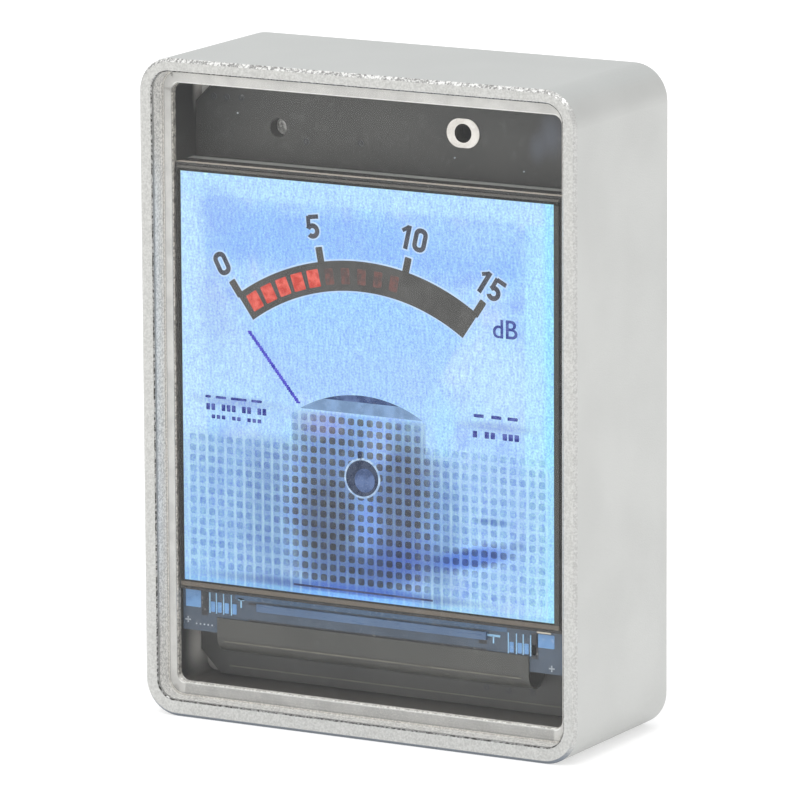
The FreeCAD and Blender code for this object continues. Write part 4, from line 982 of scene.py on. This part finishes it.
ledgeDots = {"left": -13.4, "pitch": 0.3, "up": 5.97, "size": 0.12, "count": 5}
ledgePatch = (12.3, 13.35, 8.15, 8.34)


def addComb(part, across, drop, corner):
    left, right, low, high = combs[part]
    return addSpan(across + left, across + right, low - drop, high - drop, ledgeDepth, corner)


for name, (look, spans) in plainLedge.items():
    keepPiece(joinAll([addSpan(*span, ledgeDepth, 0.03) for span in spans]), name, look)
lines, teeth = [], []
for side, drop in combs["drop"].items():
    for across in combs[side]:
        lines.append(addComb("line", across, drop, 0.0))
        teeth.append(addComb("tooth", across, drop, 0.04))
lines += [addSpan(*link, ledgeDepth) for link in links]
keepPiece(joinAll(lines), "combLines", "lineCyan")
keepPiece(joinAll(teeth), "combBlocks", "padBlue")
marks = []
for place in crosses["places"]:
    marks.append(addPlate(*place, crosses["long"], crosses["thin"], ledgeDepth))
    marks.append(addPlate(*place, crosses["thin"], crosses["long"], ledgeDepth))
for count in range(ledgeDots["count"]):
    marks.append(addDisc(ledgeDots["left"] + ledgeDots["pitch"] * count, ledgeDots["up"], ledgeDots["size"],
                         ledgeDots["size"], ledgeDepth, sides=12))
keepPiece(joinAll(marks), "ledgeCrosses", "paleMark")
keepPiece(addSpan(*ledgePatch, ledgeDepth, 0.05), "ledgePatch", "cream")
print("ledge dressed")

# The board above and below the picture, and a painted highlight on the fold of the flex

boardDepth, foldDepth = -2.2, -4.57
vias = {"wide": 0.42, "hole": 0.2, "thick": 0.015, "sides": 20,
        "places": [(-13.0, 41.2), (-12.0, 41.2), (-10.9, 41.25), (-6.0, 38.7), (-1.9, 38.9), (7.33, 3.45),
                   (9.0, 3.43), (10.8, 3.45)]}
specks = [(-11.2, 40.2), (5.1, 38.5), (-7.9, 4.2), (-5.15, 3.8), (-12.1, 4.95), (10.2, 38.0)]
foldLine, edgeLine = (-11.2, 11.2, 4.97, 5.05), (-12.2, 14.0, 2.72, 2.8)     # left, right, low, high
rings = [addDisc(*place, vias["wide"], vias["wide"], boardDepth, vias["hole"], vias["thick"], vias["sides"])
         for place in vias["places"]]
keepPiece(joinAll(rings), "boardVias", "inkDark")
marks = [addDisc(*place, 0.12, 0.1, boardDepth, sides=8) for place in specks]
keepPiece(joinAll(marks), "boardSpecks", "paleMark")
# a thin plate along the flex's fold: a painted highlight on its crest
keepPiece(addSpan(*foldLine, foldDepth), "foldLine", "boardLineAndFoldGlint")
keepPiece(addSpan(*edgeLine, boardDepth), "boardEdgeLine", "boardLineAndFoldGlint")
print("board dressed")

# Floor, light and camera

floorLook = {"size": 6.0, "finish": ((210, 210, 210), (214, 214, 214), 4.0, 60.0, (0.6, 0.8), {"shine": 0.1}),
             "glow": 0.45}      # a lit white table
selectNone()
bpy.ops.mesh.primitive_plane_add(size=floorLook["size"], location=(0, 0, 0))
floor = bpy.context.object
floor.name = "floor"
floor.data.materials.append(plainFinish("paleFloor", *floorLook["finish"]))
floorShader = floor.data.materials[0].node_tree.nodes["Principled BSDF"]
floorShader.inputs["Emission Color"].default_value = (1, 1, 1, 1)
floorShader.inputs["Emission Strength"].default_value = floorLook["glow"]

world = bpy.data.worlds.new("studio")
world.use_nodes = True
world.node_tree.nodes["Background"].inputs["Color"].default_value = (1.0, 1.0, 1.0, 1)
world.node_tree.nodes["Background"].inputs["Strength"].default_value = 1.0
bpy.context.scene.world = world

lights = {
    "overheadLight": {"place": (0.05, -0.30, 0.80), "size": 0.5, "power": 2.4},
    "leftLight": {"place": (-0.70, -0.60, 0.35), "size": 0.4, "power": 0.6},
}
for name, look in lights.items():
    bpy.ops.object.light_add(type="AREA", location=look["place"])
    lamp = bpy.context.object
    lamp.name = name
    lamp.data.size = look["size"]
    lamp.data.energy = look["power"]
    lamp.rotation_euler = (Vector((0, 0, 0.02)) - Vector(look["place"])).to_track_quat("-Z", "Y").to_euler()

cameraLook = {"azimuth": 29.3584, "elevation": 11.4932, "roll": -0.29667, "right": 2.7838, "up": 22.3082,
              "away": 516.234, "lens": 353.98, "sensor": 36.0, "frontHalf": -6.45}


def placeCamera(look):           # by the angles and the distance that give the photograph's view
    around, over, roll = turn(look["azimuth"]), turn(look["elevation"]), turn(look["roll"])
    back = Vector((math.sin(around) * math.cos(over), -math.cos(around) * math.cos(over), math.sin(over)))
    level = Vector((0, 0, 1)).cross(back).normalized()
    above = back.cross(level)
    right = level * math.cos(roll) + above * math.sin(roll)
    up = above * math.cos(roll) - level * math.sin(roll)
    middle = Vector((0, look["frontHalf"], 0))
    spot = (right * look["right"] + up * look["up"] + back * look["away"] + middle) * mm
    bpy.ops.object.camera_add(location=spot)
    camera = bpy.context.object
    camera.name = "photoCamera"
    camera.data.sensor_width = look["sensor"]
    camera.data.lens = look["lens"]
    camera.data.clip_start = 0.05
    camera.matrix_world = Matrix.Translation(spot) @ Matrix((right, up, back)).transposed().to_4x4()
    bpy.context.scene.camera = camera


placeCamera(cameraLook)
bpy.context.scene.view_settings.view_transform = "Standard"
print("stage set")
